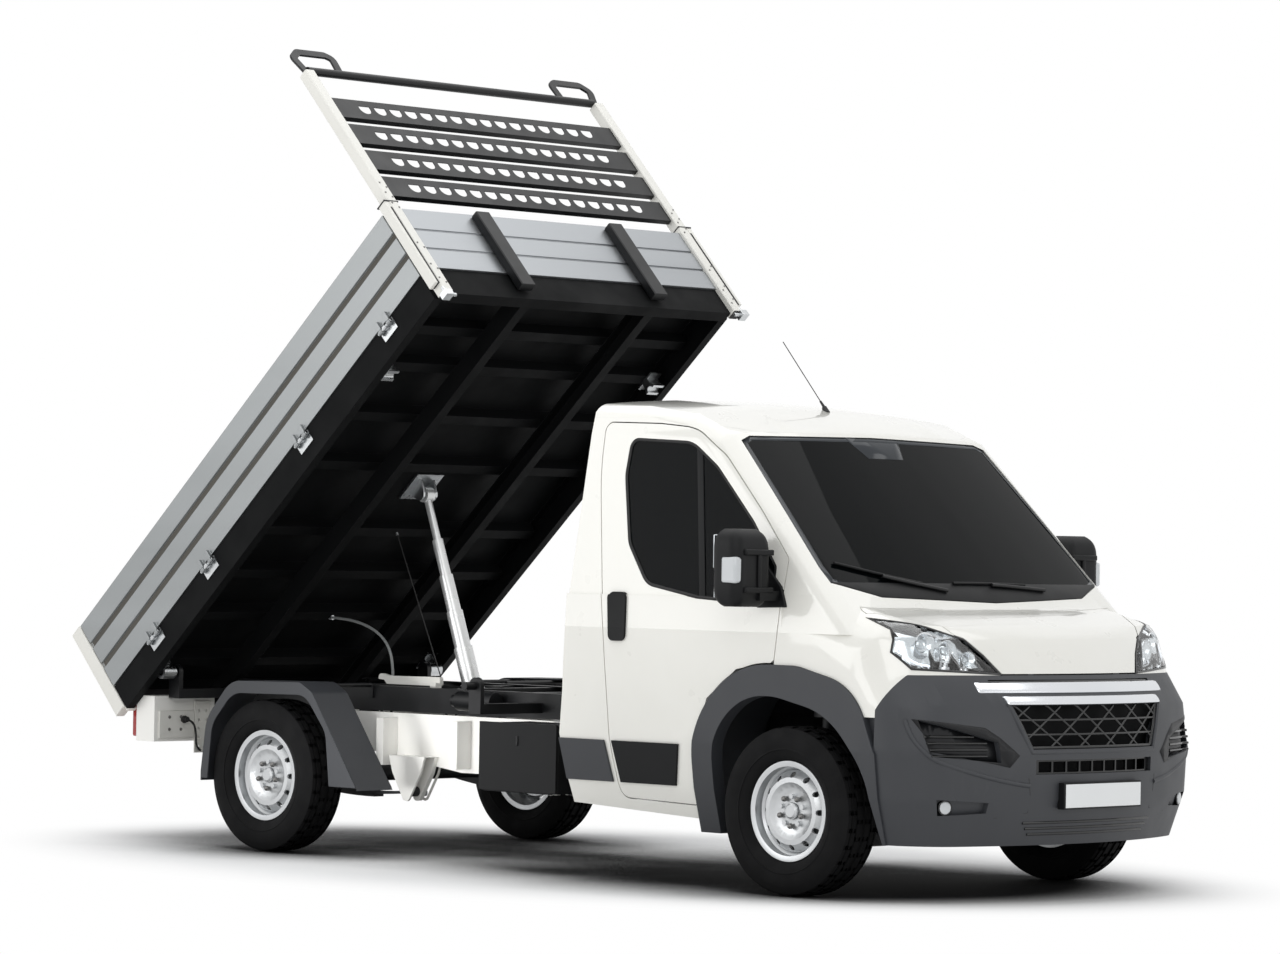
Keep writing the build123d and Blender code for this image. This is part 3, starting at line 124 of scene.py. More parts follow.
def surface(name, colour, second, roughness, spread, grain, bump, depth, stretch=(1, 1, 1), **sockets):
    """A finish with two close colours, uneven roughness and a grain of a real size in metres."""
    material = bpy.data.materials.new(name)
    material.use_nodes = True
    tree = material.node_tree
    shader = tree.nodes["Principled BSDF"]
    where = add(tree, "ShaderNodeTexCoord", {}, {})
    scaled = add(tree, "ShaderNodeMapping", {}, {"Vector": where.outputs["Object"], "Scale": stretch})
    broad = add(tree, "ShaderNodeTexNoise", {}, {
        "Vector": scaled.outputs[0], "Scale": 1 / (grain * BLOTCH), "Detail": 4})
    fine = add(tree, "ShaderNodeTexNoise", {}, {"Vector": scaled.outputs[0], "Scale": 1 / grain, "Detail": 3})
    tint = add(tree, "ShaderNodeMix", {"data_type": "RGBA"}, {"Factor": broad.outputs["Fac"]})
    tint.inputs[6].default_value = linear(colour)
    tint.inputs[7].default_value = linear(second)
    rough = add(tree, "ShaderNodeMapRange", {}, {
        "Value": broad.outputs["Fac"], "From Min": 0.3, "From Max": 0.7,
        "To Min": roughness - spread, "To Max": roughness + spread})
    tree.links.new(tint.outputs[2], shader.inputs["Base Color"])
    tree.links.new(rough.outputs["Result"], shader.inputs["Roughness"])
    if bump:
        relief = add(tree, "ShaderNodeBump", {}, {
            "Height": fine.outputs["Fac"], "Strength": bump, "Distance": depth})
        tree.links.new(relief.outputs["Normal"], shader.inputs["Normal"])
    for socket, value in sockets.items():
        shader.inputs[socket.replace("_", " ")].default_value = value
    return material


# Acrylic body paint under clear lacquer: an even, slightly warm white with a sharp gloss
body_paint = surface("acrylic_body_paint", "e4e3dc", "e9e8e2", 0.30, 0.03, 0.004, 0.04, 0.0002,
                     Coat_Weight=1.0, Coat_Roughness=0.04)
# White chassis paint: sprayed thicker and flatter than the cab's
chassis_paint = surface("chassis_enamel", "dbdad4", "e4e3dd", 0.38, 0.06, 0.006, 0.10, 0.0004)
# White frame enamel of the rails: the posts' enamel painted whiter, as painted light against the shade the
# bed casts on the rails
rail_paint_lightened = surface("rail_enamel_lightened", "f0efea", "f6f5f1", 0.38, 0.06, 0.006, 0.10, 0.0004)
# Grained polypropylene bumper: a fine leather grain, 1.5 mm, drawn at 3 mm, breaks its sheen
grained_plastic = surface("grained_polypropylene", "2b2d31", "323438", 0.52, 0.04, 0.003, 0.25, 0.0003)
# Smooth black moulded ABS for mirrors, handles and the toolbox
black_plastic = surface("moulded_black_abs", "0a0b0c", "0e0f11", 0.48, 0.05, 0.004, 0.10, 0.0002,
                        Specular_IOR_Level=0.2)
# Near-black plastic laid over the intake recesses: painted shade, darker than the grained bumper
intake_painted_shade = surface("intake_painted_shade", "0e0f11", "141518", 0.48, 0.05, 0.003, 0.20, 0.0003,
                       Specular_IOR_Level=0.3)
# Gloss black ABS of the honeycomb: polished in the mould, so it mirrors softly
gloss_plastic = surface("gloss_black_abs", "0c0d0e", "111213", 0.22, 0.04, 0.004, 0.05, 0.0002)
# Bright-plated ABS bars: mirror bright, a little blue
bright_plate = surface("bright_chrome_plate", "d4d7db", "dfe1e4", 0.14, 0.04, 0.01, 0.02, 0.0001,
                       Metallic=1.0)
# Tyre tread and sidewall rubber: dusty, dull black
tyre_rubber = surface("tyre_rubber", "0a0a0b", "111112", 0.78, 0.08, 0.002, 0.35, 0.0004,
                      Specular_IOR_Level=0.15)
# Silver lacquered pressed steel of the wheels: a flat metallic sheen
wheel_lacquer = surface("silver_wheel_lacquer", "bfc1c3", "cccecf", 0.34, 0.05, 0.004, 0.06, 0.0002,
                         Metallic=0.75)
# Mill-finish extruded aluminium: faint die lines run along the planks
extruded_aluminium = surface("extruded_aluminium", "8f9293", "9c9fa0", 0.40, 0.07, 0.006, 0.30, 0.0002,
                             stretch=(1, 0.04, 1), Metallic=0.9)
# The same extrusion on the headboard and the tailgate, whose planks run across
plank_aluminium = surface("headboard_aluminium", "94979a", "a3a6a9", 0.40, 0.07, 0.006, 0.30, 0.0002,
                          stretch=(0.04, 1, 1), Metallic=0.9)
# Black powder coat with a light orange peel, 2 mm, drawn at 3 mm
powder_coat = surface("black_powder_coat", "08090b", "0d0e10", 0.42, 0.06, 0.003, 0.20, 0.0004,
                      Specular_IOR_Level=0.35)
# Underbody paint of the bed: a flat black that hides its bearers in shade
underbody_black = surface("underbody_black", "050607", "090a0b", 0.70, 0.08, 0.004, 0.25, 0.0005,
                          Specular_IOR_Level=0.12)
# Zinc-plated pressings: bright grey with patchy passivation
zinc_plate = surface("zinc_plate", "b9bcbe", "cfd1d2", 0.30, 0.08, 0.003, 0.15, 0.0003, Metallic=1.0)
# Ground and polished ram tubes: bright, with no grain to see
ram_chrome = surface("ground_ram_steel", "d9dadb", "e6e7e6", 0.26, 0.05, 0.004, 0.05, 0.0001, Metallic=0.55)
# Rolled steel of the exhaust, knuckles, rivets and wheel nuts: dull and uneven
rolled_steel = surface("rolled_steel", "6d6c6a", "8a8988", 0.45, 0.10, 0.004, 0.25, 0.0004, Metallic=1.0)
# Paint on the rough cast engine and axles: dull, and pitted by the sand mould
cast_black = surface("cast_iron_paint", "17181a", "202123", 0.60, 0.08, 0.004, 0.40, 0.0006)
# Toughened glass that looks nearly black: a low index keeps the pale studio out of it
tinted_glass = surface("tinted_glass", "0e1214", "12171a", 0.015, 0.01, 0.5, 0, 0,
                       Transmission_Weight=0.70, IOR=1.12)
# Polycarbonate headlight lens: hard coated, clear and sharply glossy
clear_lens = surface("polycarbonate_lens", "f0f3f4", "f4f6f7", 0.02, 0.01, 0.5, 0, 0,
                     Transmission_Weight=1.0, IOR=1.585)
# Vapour-coated reflector bowls: mirror bright
reflector = surface("vapour_coated_reflector", "cfd2d5", "dcdfe1", 0.12, 0.03, 0.004, 0.10, 0.0002,
                    Metallic=1.0)
# Daylight strip: a white light guide that glows evenly
light_strip = surface("daylight_strip", "f2f5f8", "ffffff", 0.30, 0.02, 0.01, 0, 0,
                      Emission_Color=linear("eef4ff"), Emission_Strength=0.9)
# Red acrylic of the rear lamps: deep and glossy
red_acrylic = surface("red_acrylic", "8c0d0c", "a01210", 0.12, 0.03, 0.004, 0.05, 0.0001, Coat_Weight=0.6)
# Clear acrylic of the repeaters and fog lamps, ribbed behind, so that it looks pale and milky
frosted_acrylic = surface("clear_repeater_acrylic", "b9bdc0", "cdd0d2", 0.22, 0.04, 0.003, 0.20, 0.0003,
                          Coat_Weight=0.6)
# Woven seat cloth: matt, with a 2 mm weave
seat_cloth = surface("woven_seat_cloth", "1a1b1e", "232428", 0.85, 0.05, 0.002, 0.60, 0.0005)
# Floor of the joint between two planks: brownish and dull, weathered oxide with painted shade of the groove
# darkening it
joint_shade_and_oxide = surface("plank_joint_shade_and_oxide", "4c4a46", "5c5953", 0.65, 0.08, 0.005, 0.25, 0.0003,
                      Specular_IOR_Level=0.2)
# EPDM rubber of seals and cable covers: deep black and matt
seal_rubber = surface("epdm_rubber", "0b0b0c", "121213", 0.62, 0.06, 0.003, 0.20, 0.0003)
# Blank number plate: white reflective sheet
plate_sheet = surface("blank_plate_sheet", "dfe1e2", "e6e8e8", 0.35, 0.04, 0.003, 0.10, 0.0001)
# Ceramic enamel fired onto the windscreen's edge: dark, and glossy like the glass
enamel_band = surface("ceramic_enamel", "23282e", "292e34", 0.16, 0.02, 0.01, 0, 0)
# Grey rubber sheath of the hydraulic hose: satin
hose_sheath = surface("grey_hose_sheath", "8f9292", "9b9e9e", 0.45, 0.06, 0.004, 0.20, 0.0003)
# Silvered mirror glass
mirror_silver = surface("silvered_glass", "c9ced2", "d2d6d9", 0.03, 0.01, 0.01, 0, 0, Metallic=1.0)


# Meshes. Corners of the CAD's triangles that lie closer than MERGE are one
MERGE = 0.00004


def finished(name, work, material, body="chassis", space=CAB, sharp=32, bevel=0.0):
    """An object from a bmesh drawn in the given space, riding on a body."""
    bmesh.ops.transform(work, matrix=space, verts=work.verts)
    mesh = bpy.data.meshes.new(name)
    work.to_mesh(mesh)
    work.free()
    mesh.shade_smooth()
    mesh.set_sharp_from_angle(angle=math.radians(sharp))
    mesh.materials.append(material)
    thing = placed(name, mesh)
    if bevel:
        soften(thing, bevel)
    if body:
        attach(thing, body)
    return thing


def soften(thing, width):
    """Small rounded edges on a piece."""
    modifier = thing.modifiers.new("edges", "BEVEL")
    modifier.width = width
    modifier.segments = 2
    modifier.limit_method = "ANGLE"
    modifier.angle_limit = math.radians(40)
    modifier.use_clamp_overlap = True


def slab(work, low, high):
    """A box between two corners."""
    middle = [(a + b) / 2 for a, b in zip(low, high)]
    size = [b - a for a, b in zip(low, high)]
    bmesh.ops.create_cube(work, size=1, matrix=Matrix.Translation(middle) @ Matrix.Diagonal((*size, 1)))


def round_bar(work, start, end, radius, sides=24, tip=None):
    """A closed round or six-sided bar between two points."""
    start, end = Vector(start), Vector(end)
    turn = (end - start).to_track_quat("Z", "Y").to_matrix().to_4x4()
    made = bmesh.ops.create_cone(
        work, cap_ends=True, segments=sides, radius1=radius, radius2=radius if tip is None else tip,
        depth=(end - start).length, matrix=Matrix.Translation((start + end) / 2) @ turn)
    return made["verts"]


def face_out(work):
    """Turns every face of closed shells outwards."""
    bmesh.ops.recalc_face_normals(work, faces=work.faces)


def thicken(work, faces, vec, keep=True):
    """Extrudes flat faces into a plate."""
    made = bmesh.ops.extrude_face_region(work, geom=faces, use_keep_orig=keep)["geom"]
    bmesh.ops.translate(work, vec=vec, verts=[v for v in made if isinstance(v, bmesh.types.BMVert)])


def both_halves(work, recalculate=True):
    """Adds the mirror image of what is drawn."""
    copied = bmesh.ops.duplicate(work, geom=work.verts[:] + work.edges[:] + work.faces[:])["geom"]
    verts = [v for v in copied if isinstance(v, bmesh.types.BMVert)]
    bmesh.ops.scale(work, vec=(-1, 1, 1), verts=verts)
    bmesh.ops.reverse_faces(work, faces=[f for f in copied if isinstance(f, bmesh.types.BMFace)])
    if recalculate:
        face_out(work)


def merged_copy(node):
    """A bmesh of a CAD node's triangles, joined at their corners."""
    work = bmesh.new()
    work.from_mesh(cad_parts[node].data)
    bmesh.ops.remove_doubles(work, verts=work.verts, dist=MERGE)
    return work


def dressed(node, material, body="chassis", bevel=0.0012, part=None):
    """A merged copy of a CAD node, or of part of it, with soft shading and fine edges."""
    work = merged_copy(node)
    if part:
        others = [face for face in work.faces if not part(face.calc_center_median())]
        bmesh.ops.delete(work, geom=others, context="FACES")
    bmesh.ops.dissolve_limit(work, angle_limit=math.radians(0.6), verts=work.verts, edges=work.edges)
    mesh = bpy.data.meshes.new(node + "_dressed")
    work.to_mesh(mesh)
    work.free()
    for attribute in ("custom_normal", "sharp_face", "sharp_edge"):
        if attribute in mesh.attributes:
            mesh.attributes.remove(mesh.attributes[attribute])
    mesh.shade_smooth()
    mesh.set_sharp_from_angle(angle=math.radians(30))
    mesh.materials.clear()
    mesh.materials.append(material)
    thing = placed(mesh.name, mesh)
    if bevel:
        soften(thing, bevel)
    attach(thing, body)
    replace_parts(thing, node)
    return thing


def reshaped(thing, wanted):
    """Moves the vertices of a dressed piece by a rule, in the drawing metres of the flat bed."""
    for vert in thing.data.vertices:
        moved = wanted(BED_BACK @ vert.co)
        if moved is not None:
            vert.co = BED @ moved


def recoat(node, material):
    """A better finish on a CAD node that stays as it is."""
    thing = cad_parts[node]
    thing.data.materials.clear()
    thing.data.materials.append(material)


# Hose and limit cable between the tipping bed and the subframe
HOSE_ROUTE = [
    (0, 4.050, 1.129), (0, 3.942, 1.124), (0, 3.825, 1.104), (0, 3.715, 1.066), (0, 3.632, 1.003),
    (0, 3.593, 0.910), (0, 3.592, 0.820),
]
CABLE_ROUTE = [(0, 3.576, 1.556), (0, 3.403, 1.191), (0, 3.230, 0.826)]


def cord_piece(name, route, radius, node, material):
    """A smooth round cord along its route's points, from the bed to the subframe."""
    curve = bpy.data.curves.new(name, "CURVE")
    curve.dimensions = "3D"
    spline = curve.splines.new("NURBS")
    spline.points.add(len(route) - 1)
    for target, point in zip(spline.points, route):
        target.co = (*(CAB @ Vector(point)), 1)
    spline.order_u = 3
    spline.use_endpoint_u = True
    curve.resolution_u = 12
    guide = placed(name + "_guide", curve)
    bpy.context.view_layer.update()
    path = [vert.co.copy() for vert in bpy.data.meshes.new_from_object(guide).vertices]
    curve.bevel_depth = radius
    curve.bevel_resolution = 3
    curve.use_fill_caps = True
    bpy.context.view_layer.update()
    tube = bpy.data.meshes.new_from_object(guide)
    bpy.data.objects.remove(guide)
    work = bmesh.new()
    work.from_mesh(tube)
    bmesh.ops.remove_doubles(work, verts=work.verts, dist=0.00002)
    thing = finished(name, work, material, None, Matrix.Identity(4))
    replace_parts(thing, node)
    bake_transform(thing)


cord_piece("ram_hose_line", HOSE_ROUTE, 0.007, "hose", hose_sheath)
cord_piece("limit_cable_line", CABLE_ROUTE, 0.003, "limit_cable", seal_rubber)

# Finishes on the CAD pieces of the cab, wheels, chassis and bed
for node in ("cab_roof", "cab_rear_wall", "cab_sides", "front_wings"):
    dressed(node, body_paint)
dressed("bonnet", body_paint, "bonnet")
dressed("bumper", grained_plastic, bevel=0.003)
dressed("arch_trims", grained_plastic, bevel=0.003)
for side in ("left", "right"):
    dressed(f"door_{side}", body_paint, f"door_{side}")
    dressed(f"door_trim_{side}", black_plastic, f"door_{side}", bevel=0.003)
    dressed(f"door_glass_{side}", tinted_glass, f"door_{side}", bevel=0)
    for end in ("front", "rear"):
        wheel = f"{end}_{side}"
        dressed(f"rim_{wheel}", wheel_lacquer, f"wheel_{wheel}", bevel=0.001)
dressed("cab_glass", tinted_glass, bevel=0)
# The rails take the lightened enamel: painted light against the bed's shade
dressed("chassis_frame", rail_paint_lightened, bevel=0.002)
dressed("subframe", powder_coat, bevel=0.002)
dressed("bed_frame", underbody_black, "bed", bevel=0.002)
dressed("corner_posts", chassis_paint, "bed", bevel=0.002)

# Joints between the planks: half the width of the part's groove, and of the real joint at its mouth and floor
GROOVE_HEIGHTS = (0.134, 0.268)
GROOVE_HALF, MOUTH_HALF, FLOOR_HALF = 0.007, 0.018, 0.014
SIDE_FLOOR, DEEP_FLOOR = 1.013, 1.0095


def wide_side_groove(point):
    """The deep open joint between two planks of a drop side."""
    for height in GROOVE_HEIGHTS:
        off = point.z - height
        if abs(abs(off) - GROOVE_HALF) < 0.0006 and abs(point.x) > 1.0125:
            point.z = height + math.copysign(MOUTH_HALF, off)
            if abs(abs(point.x) - SIDE_FLOOR) < 0.0004:
                point.x = math.copysign(DEEP_FLOOR, point.x)
                point.z = height + math.copysign(FLOOR_HALF, off)
            return point


def wide_gate_groove(point):
    """The same joint on the tailgate, whose outside looks to the rear."""
    for height in GROOVE_HEIGHTS:
        off = point.z - height
        if abs(abs(off) - GROOVE_HALF) < 0.0006 and point.y > 0.040:
            point.z = height + math.copysign(MOUTH_HALF, off)
            return point


dressed("headboard", plank_aluminium, "bed", bevel=0.002)

# Rack: the part's frame, with plates that have punched D holes and turned lips in place of its own
RACK_LOW, RACK_HIGH = 0.45, 1.20
RACK_TOPS = (1.137, 0.958, 0.779, 0.600)
PLATE_HALF, PLATE_TALL, PLATE_FACE, PLATE_THICK, LIP_DEEP = 0.973, 0.132, -3.050, 0.004, 0.028
HOLES, HOLE_PITCH, HOLE_DOWN, HOLE_HALF, HOLE_STRAIGHT, HOLE_ROUND = 16, 0.1025, 0.040, 0.037, 0.018, 0.034
dressed("rack", powder_coat, "bed", bevel=0.001,
        part=lambda centre: not RACK_LOW < (BED_BACK @ centre).z < RACK_HIGH)


def punched_plate(work, outline, holes, face, thick):
    """A plate across the vehicle with holes, from loops of x, z points."""
    edges = []
    for loop in [outline] + holes:
        verts = [work.verts.new((x, face, z)) for x, z in loop]
        edges += [work.edges.new(pair) for pair in zip(verts, verts[1:] + verts[:1])]
    filled = bmesh.ops.triangle_fill(work, use_beauty=True, edges=edges)["geom"]
    skins = [part for part in filled if isinstance(part, bmesh.types.BMFace)]
    thicken(work, skins, (0, thick, 0))


plates = bmesh.new()
for top in RACK_TOPS:
    low = top - PLATE_TALL
    outline = [(-PLATE_HALF, low), (PLATE_HALF, low), (PLATE_HALF, top), (-PLATE_HALF, top)]
    bowls = []
    for number in range(HOLES):
        x, z = (number - (HOLES - 1) / 2) * HOLE_PITCH, top - HOLE_DOWN
        angles = [math.pi * turn / 14 for turn in range(15)]
        bowl = [(x + HOLE_HALF * math.cos(angle), z - HOLE_STRAIGHT - HOLE_ROUND * math.sin(angle))
                for angle in angles]
        bowls.append([(x + HOLE_HALF, z)] + bowl + [(x - HOLE_HALF, z)])
    punched_plate(plates, outline, bowls, PLATE_FACE, PLATE_THICK)
    for foot in (low, top - PLATE_THICK):
        slab(plates, (-PLATE_HALF, PLATE_FACE + PLATE_THICK, foot),
             (PLATE_HALF, PLATE_FACE + LIP_DEEP, foot + PLATE_THICK))
face_out(plates)
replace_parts(finished("rack_plates", plates, powder_coat, "bed", BED), "rack")
dressed("bed_fittings", zinc_plate, "bed", bevel=0.002)

# Front corner posts: sleeve strips beside the lower half, their dark joints, rivets and latch feet
sleeves = bmesh.new()
joints = bmesh.new()
rivets = bmesh.new()
feet = bmesh.new()
slab(sleeves, (1.0430, -3.064, -0.128), (1.0625, -3.014, 0.408))
slab(sleeves, (1.0340, -3.064, 0.372), (1.0440, -3.014, 0.408))
slab(joints, (1.0334, -3.0645, -0.128), (1.0426, -3.020, 0.371))
slab(joints, (0.9715, -3.0675, 0.408), (1.0640, -3.0045, 0.414))
slab(joints, (0.9760, -3.0630, -0.1790), (1.0300, -3.0090, -0.1765))
for height in (0.520, 0.455, 0.385, 0.120, -0.020, -0.110):
    for shift in (-0.014, 0.014):
        place = Vector((1.003 + shift, -3.066, height + shift))
        round_bar(rivets, place, place + Vector((0, -0.004, 0)), 0.0055, 16, tip=0.0035)
slab(feet, (1.0010, -3.0790, -0.2150), (1.0480, -3.0330, -0.1800))
round_bar(feet, (1.0240, -3.0560, -0.1800), (1.0240, -3.0560, -0.1500), 0.011, 16)
round_bar(feet, (0.9650, -3.0560, -0.1960), (1.0010, -3.0560, -0.1960), 0.009, 16)
for name, work, material, slot, bevel in (
        ("post_sleeves", sleeves, chassis_paint, "white_paint", 0.002),
        ("post_joints", joints, seal_rubber, "dark_plastic", 0),
        ("post_rivets", rivets, rolled_steel, "steel", 0),
        ("post_latch_feet", feet, zinc_plate, "zinc", 0.002)):
    both_halves(work)
    finished(name, work, material, "bed", BED, bevel=bevel)

# Drop sides and tailgate with their wide joints, the ram and the toolbox
for side in ("left", "right"):
    reshaped(dressed(f"drop_side_{side}", extruded_aluminium, f"drop_side_{side}", bevel=0.002),
             wide_side_groove)
# Dark strips on the groove floors: painted shade in the joints, with their weathered tone
for side, sign in SIDES:
    strips = bmesh.new()
    for height in GROOVE_HEIGHTS:
        slab(strips, (sign * 1.0098, -2.990, height - 0.0135), (sign * 1.0112, -0.012, height + 0.0135))
    face_out(strips)
    finished(f"plank_joint_shades_{side}", strips, joint_shade_and_oxide, f"drop_side_{side}", BED)
reshaped(dressed("tailgate", plank_aluminium, "tailgate", bevel=0.002), wide_gate_groove)
dressed("ram_barrel", ram_chrome, "ram_barrel", bevel=0.002)
for number in range(1, 6):
    dressed(f"ram_stage_{number}", ram_chrome, f"ram_stage_{number}", bevel=0.001)
dressed("toolbox", black_plastic, bevel=0.003)
dressed("toolbox_lid", black_plastic, "toolbox_lid", bevel=0.004)

# Nose: the part's grille is kept below KEPT_GRILLE, and the bright bars lie on a bowed and raked face
KEPT_GRILLE = 0.655
NOSE_BOW = 2.15
NOSE_KNEE, NOSE_FRONT = 0.850, -0.926
UPPER_RAKE, LOWER_RAKE = 0.8148, 0.100
dressed("grille", gloss_plastic, bevel=0.001, part=lambda centre: centre.z < KEPT_GRILLE)


def nose_point(x, z, proud):
    """A point on the bowed front of the nose, raked above the grille's opening, moved forward by proud."""
    rake = UPPER_RAKE if z > NOSE_KNEE else LOWER_RAKE
    return x, NOSE_FRONT + rake * (z - NOSE_KNEE) + NOSE_BOW - math.sqrt(NOSE_BOW ** 2 - x ** 2) - proud, z


def nose_bar(name, low, high, half, proud, deep, material, bevel):
    """A bar across the nose, bowed like the bumper, between two heights."""
    work = bmesh.new()
    rings = []
    foot, crown = [nose_point(0, height, 0)[1] for height in (low, high)]
    for step in range(41):
        x = half * (step / 20 - 1)
        bow = NOSE_BOW - math.sqrt(NOSE_BOW ** 2 - x ** 2) - proud
        rings.append([work.verts.new((x, y + bow, z)) for y, z in (
            (foot, low), ((foot + crown) / 2 - 0.004, (low + high) / 2), (crown, high),
            (crown + deep, high), (foot + deep, low))])
    for one, two in zip(rings, rings[1:]):
        for i in range(5):
            work.faces.new((one[i], one[i - 1], two[i - 1], two[i]))
    work.faces.new(rings[0])
    work.faces.new(rings[-1][::-1])
    face_out(work)
    return finished(name, work, material, bevel=bevel)


nose_bar("bar_backing", 0.880, 0.982, 0.600, -0.004, 0.030, gloss_plastic, 0.002)
for name, low, high, half, proud, bevel in (("lower_grille_bar", 0.861, 0.897, 0.532, 0.014, 0.006),
                                            ("upper_grille_bar", 0.909, 0.957, 0.640, 0.006, 0.008)):
    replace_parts(nose_bar(name, low, high, half, proud, 0.040, bright_plate, bevel), "grille")

# Finishes on the cab's inside and on what is left of the chassis
dressed("dashboard", black_plastic, bevel=0.004)
dressed("seats", seat_cloth, bevel=0.010)
dressed("steering_wheel", black_plastic, "steering_wheel", bevel=0.001)
dressed("suspension", cast_black, bevel=0.002)
dressed("pump_unit", powder_coat, bevel=0.002)
dressed("exhaust", rolled_steel, bevel=0)
dressed("fuel_tank", black_plastic, bevel=0)
dressed("safety_prop", chassis_paint, bevel=0.002)
dressed("rear_lamps", red_acrylic, bevel=0.003)
recoat("engine_block", cast_black)
recoat("cab_floor", cast_black)
recoat("headlights", clear_lens)
for side in ("left", "right"):
    recoat(f"knuckle_{side}", rolled_steel)

# Tyres: ribs cut into blocks, with a rim protector and a few moulded rings on the sidewall
TYRE_HALF_PROFILE = [
    (0.0, 0.3640), (0.010, 0.3640), (0.012, 0.3720), (0.040, 0.3720), (0.042, 0.3640), (0.050, 0.3640),
    (0.052, 0.3716), (0.072, 0.3706), (0.074, 0.3630), (0.080, 0.3624), (0.082, 0.3690), (0.096, 0.3640),
    (0.104, 0.3500), (0.1085, 0.3330), (0.1092, 0.3310), (0.110, 0.3290), (0.112, 0.3050), (0.1125, 0.2900),
    (0.111, 0.2760), (0.112, 0.2740), (0.112, 0.2700), (0.108, 0.2680), (0.103, 0.2520), (0.096, 0.2400),
    (0.093, 0.2360), (0.086, 0.2280), (0.0775, 0.2225), (0.0765, 0.2040),
]
TYRE_STEPS = 120
CUT_EVERY = 4
CUT_DEEP = 0.006
TREAD_REACH, TREAD_HALF, MIDDLE_RIBS = 0.3655, 0.1, 0.046


def tyre(wheel, place):
    """A tyre turned from its section, with cross cuts between the tread blocks."""
    work = bmesh.new()
    section = [(-x, r) for x, r in reversed(TYRE_HALF_PROFILE[1:])] + TYRE_HALF_PROFILE
    verts = [work.verts.new((x, 0, r)) for x, r in section]
    edges = [work.edges.new(pair) for pair in zip(verts, verts[1:])]
    bmesh.ops.spin(work, geom=verts + edges, axis=(1, 0, 0), cent=(0, 0, 0), steps=TYRE_STEPS,
                   angle=math.tau, use_merge=True, use_duplicate=False)
    bmesh.ops.remove_doubles(work, verts=work.verts, dist=0.00002)
    face_out(work)
    cuts = []
    for face in work.faces:
        middle = face.calc_center_median()
        reach = math.hypot(middle.y, middle.z)
        step = round(math.atan2(middle.y, middle.z) / math.tau * TYRE_STEPS - 0.5)
        shift = 0 if abs(middle.x) < MIDDLE_RIBS else CUT_EVERY // 2
        if reach > TREAD_REACH and abs(middle.x) < TREAD_HALF and (step + shift) % CUT_EVERY == 0:
            cuts.append(face)
    made = bmesh.ops.extrude_discrete_faces(work, faces=cuts)
    for face in made["faces"]:
        for vert in face.verts:
            reach = math.hypot(vert.co.y, vert.co.z)
            share = (reach - CUT_DEEP) / reach
            vert.co.y *= share
            vert.co.z *= share
    thing = finished(f"tyre_{wheel}_tread", work, tyre_rubber, f"wheel_{wheel}", place, sharp=28)
    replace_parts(thing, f"tyre_{wheel}")


for wheel, sign, place in WHEELS:
    tyre(wheel, place)


# Skins: thin pieces taken from the outside of a CAD node, so that they lie on it
def skin(node, wanted):
    """A merged bmesh of a node's faces whose centre and normal pass a test, in drawing metres."""
    work = merged_copy(node)
    bmesh.ops.transform(work, matrix=CAB.inverted(), verts=work.verts)
    work.normal_update()
    others = [face for face in work.faces if not wanted(face.calc_center_median(), face.normal)]
    bmesh.ops.delete(work, geom=others, context="FACES")
    bmesh.ops.dissolve_limit(work, angle_limit=math.radians(0.8), verts=work.verts, edges=work.edges)
    return work


def trim(work, *planes):
    """Cuts away what lies on the far side of each plane, given as a point and the direction away."""
    for point, away in planes:
        everything = work.verts[:] + work.edges[:] + work.faces[:]
        bmesh.ops.bisect_plane(work, geom=everything, plane_co=point, plane_no=away, clear_outer=True)


def only_edge(work, width):
    """Keeps a band of the given width along the edge of the faces."""
    inside = set(bmesh.ops.inset_region(work, faces=work.faces[:], thickness=width, use_boundary=True,
                                        use_even_offset=True)["faces"])
    bmesh.ops.delete(work, geom=[face for face in work.faces if face not in inside], context="FACES")


def laid(name, work, material, thick, body="chassis", inward=False, bevel=0.0):
    """A skin with a thickness, outwards from the node it was taken from or inwards."""
    thing = finished(name, work, material, body)
    wall = thing.modifiers.new("wall", "SOLIDIFY")
    wall.thickness = thick
    wall.offset = -1 if inward else 1
    if bevel:
        soften(thing, bevel)


def surface_tree(node):
    """A search tree of a node's faces in drawing metres."""
    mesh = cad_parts[node].data
    points = [vert.co - Vector((0, AXLE_Y, 0)) for vert in mesh.vertices]
    return BVHTree.FromPolygons(points, [face.vertices[:] for face in mesh.polygons])


def from_front(tree, x, z, out=0.0):
    """The point of a surface seen from the front at x, z, moved forward by out."""
    return tree.ray_cast(Vector((x, -5, z)), Vector((0, 1, 0)))[0] + Vector((0, -out, 0))


def line(name, runs, radius, material, order=2):
    """Round bars, seams or trims that follow runs of points in drawing metres."""
    curve = bpy.data.curves.new(name, "CURVE")
    curve.dimensions = "3D"
    curve.bevel_depth = radius
    curve.bevel_resolution = 3
    curve.resolution_u = 8
    curve.use_fill_caps = True
    for run in runs:
        spline = curve.splines.new("NURBS")
        spline.points.add(len(run) - 1)
        for target, point in zip(spline.points, run):
            target.co = (*(CAB @ Vector(point)), 1)
        spline.order_u = order
        spline.use_endpoint_u = True
    curve.materials.append(material)
    thing = placed(name, curve)
    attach(thing, "chassis")


def mirrored(runs):
    """Runs of points with their mirror images."""
    return runs + [[(-x, y, z) for x, y, z in run] for run in runs]


def bolts(work, places, axis, radius=0.009, tall=0.008):
    """Hexagon heads on washers at the given places, along an axis."""
    axis = Vector(axis)
    for place in places:
        place = Vector(place)
        round_bar(work, place, place + axis * 0.002, radius * 1.35, 20)
        round_bar(work, place + axis * 0.002, place + axis * (0.002 + tall), radius, 6)


# Glass: the windscreen's enamel band, sensor patch and scuttle, and the seals of the other windows
def screen_front(centre, normal):
    """The outside of the windscreen."""
    return centre.y < 1 and normal.y < -0.1


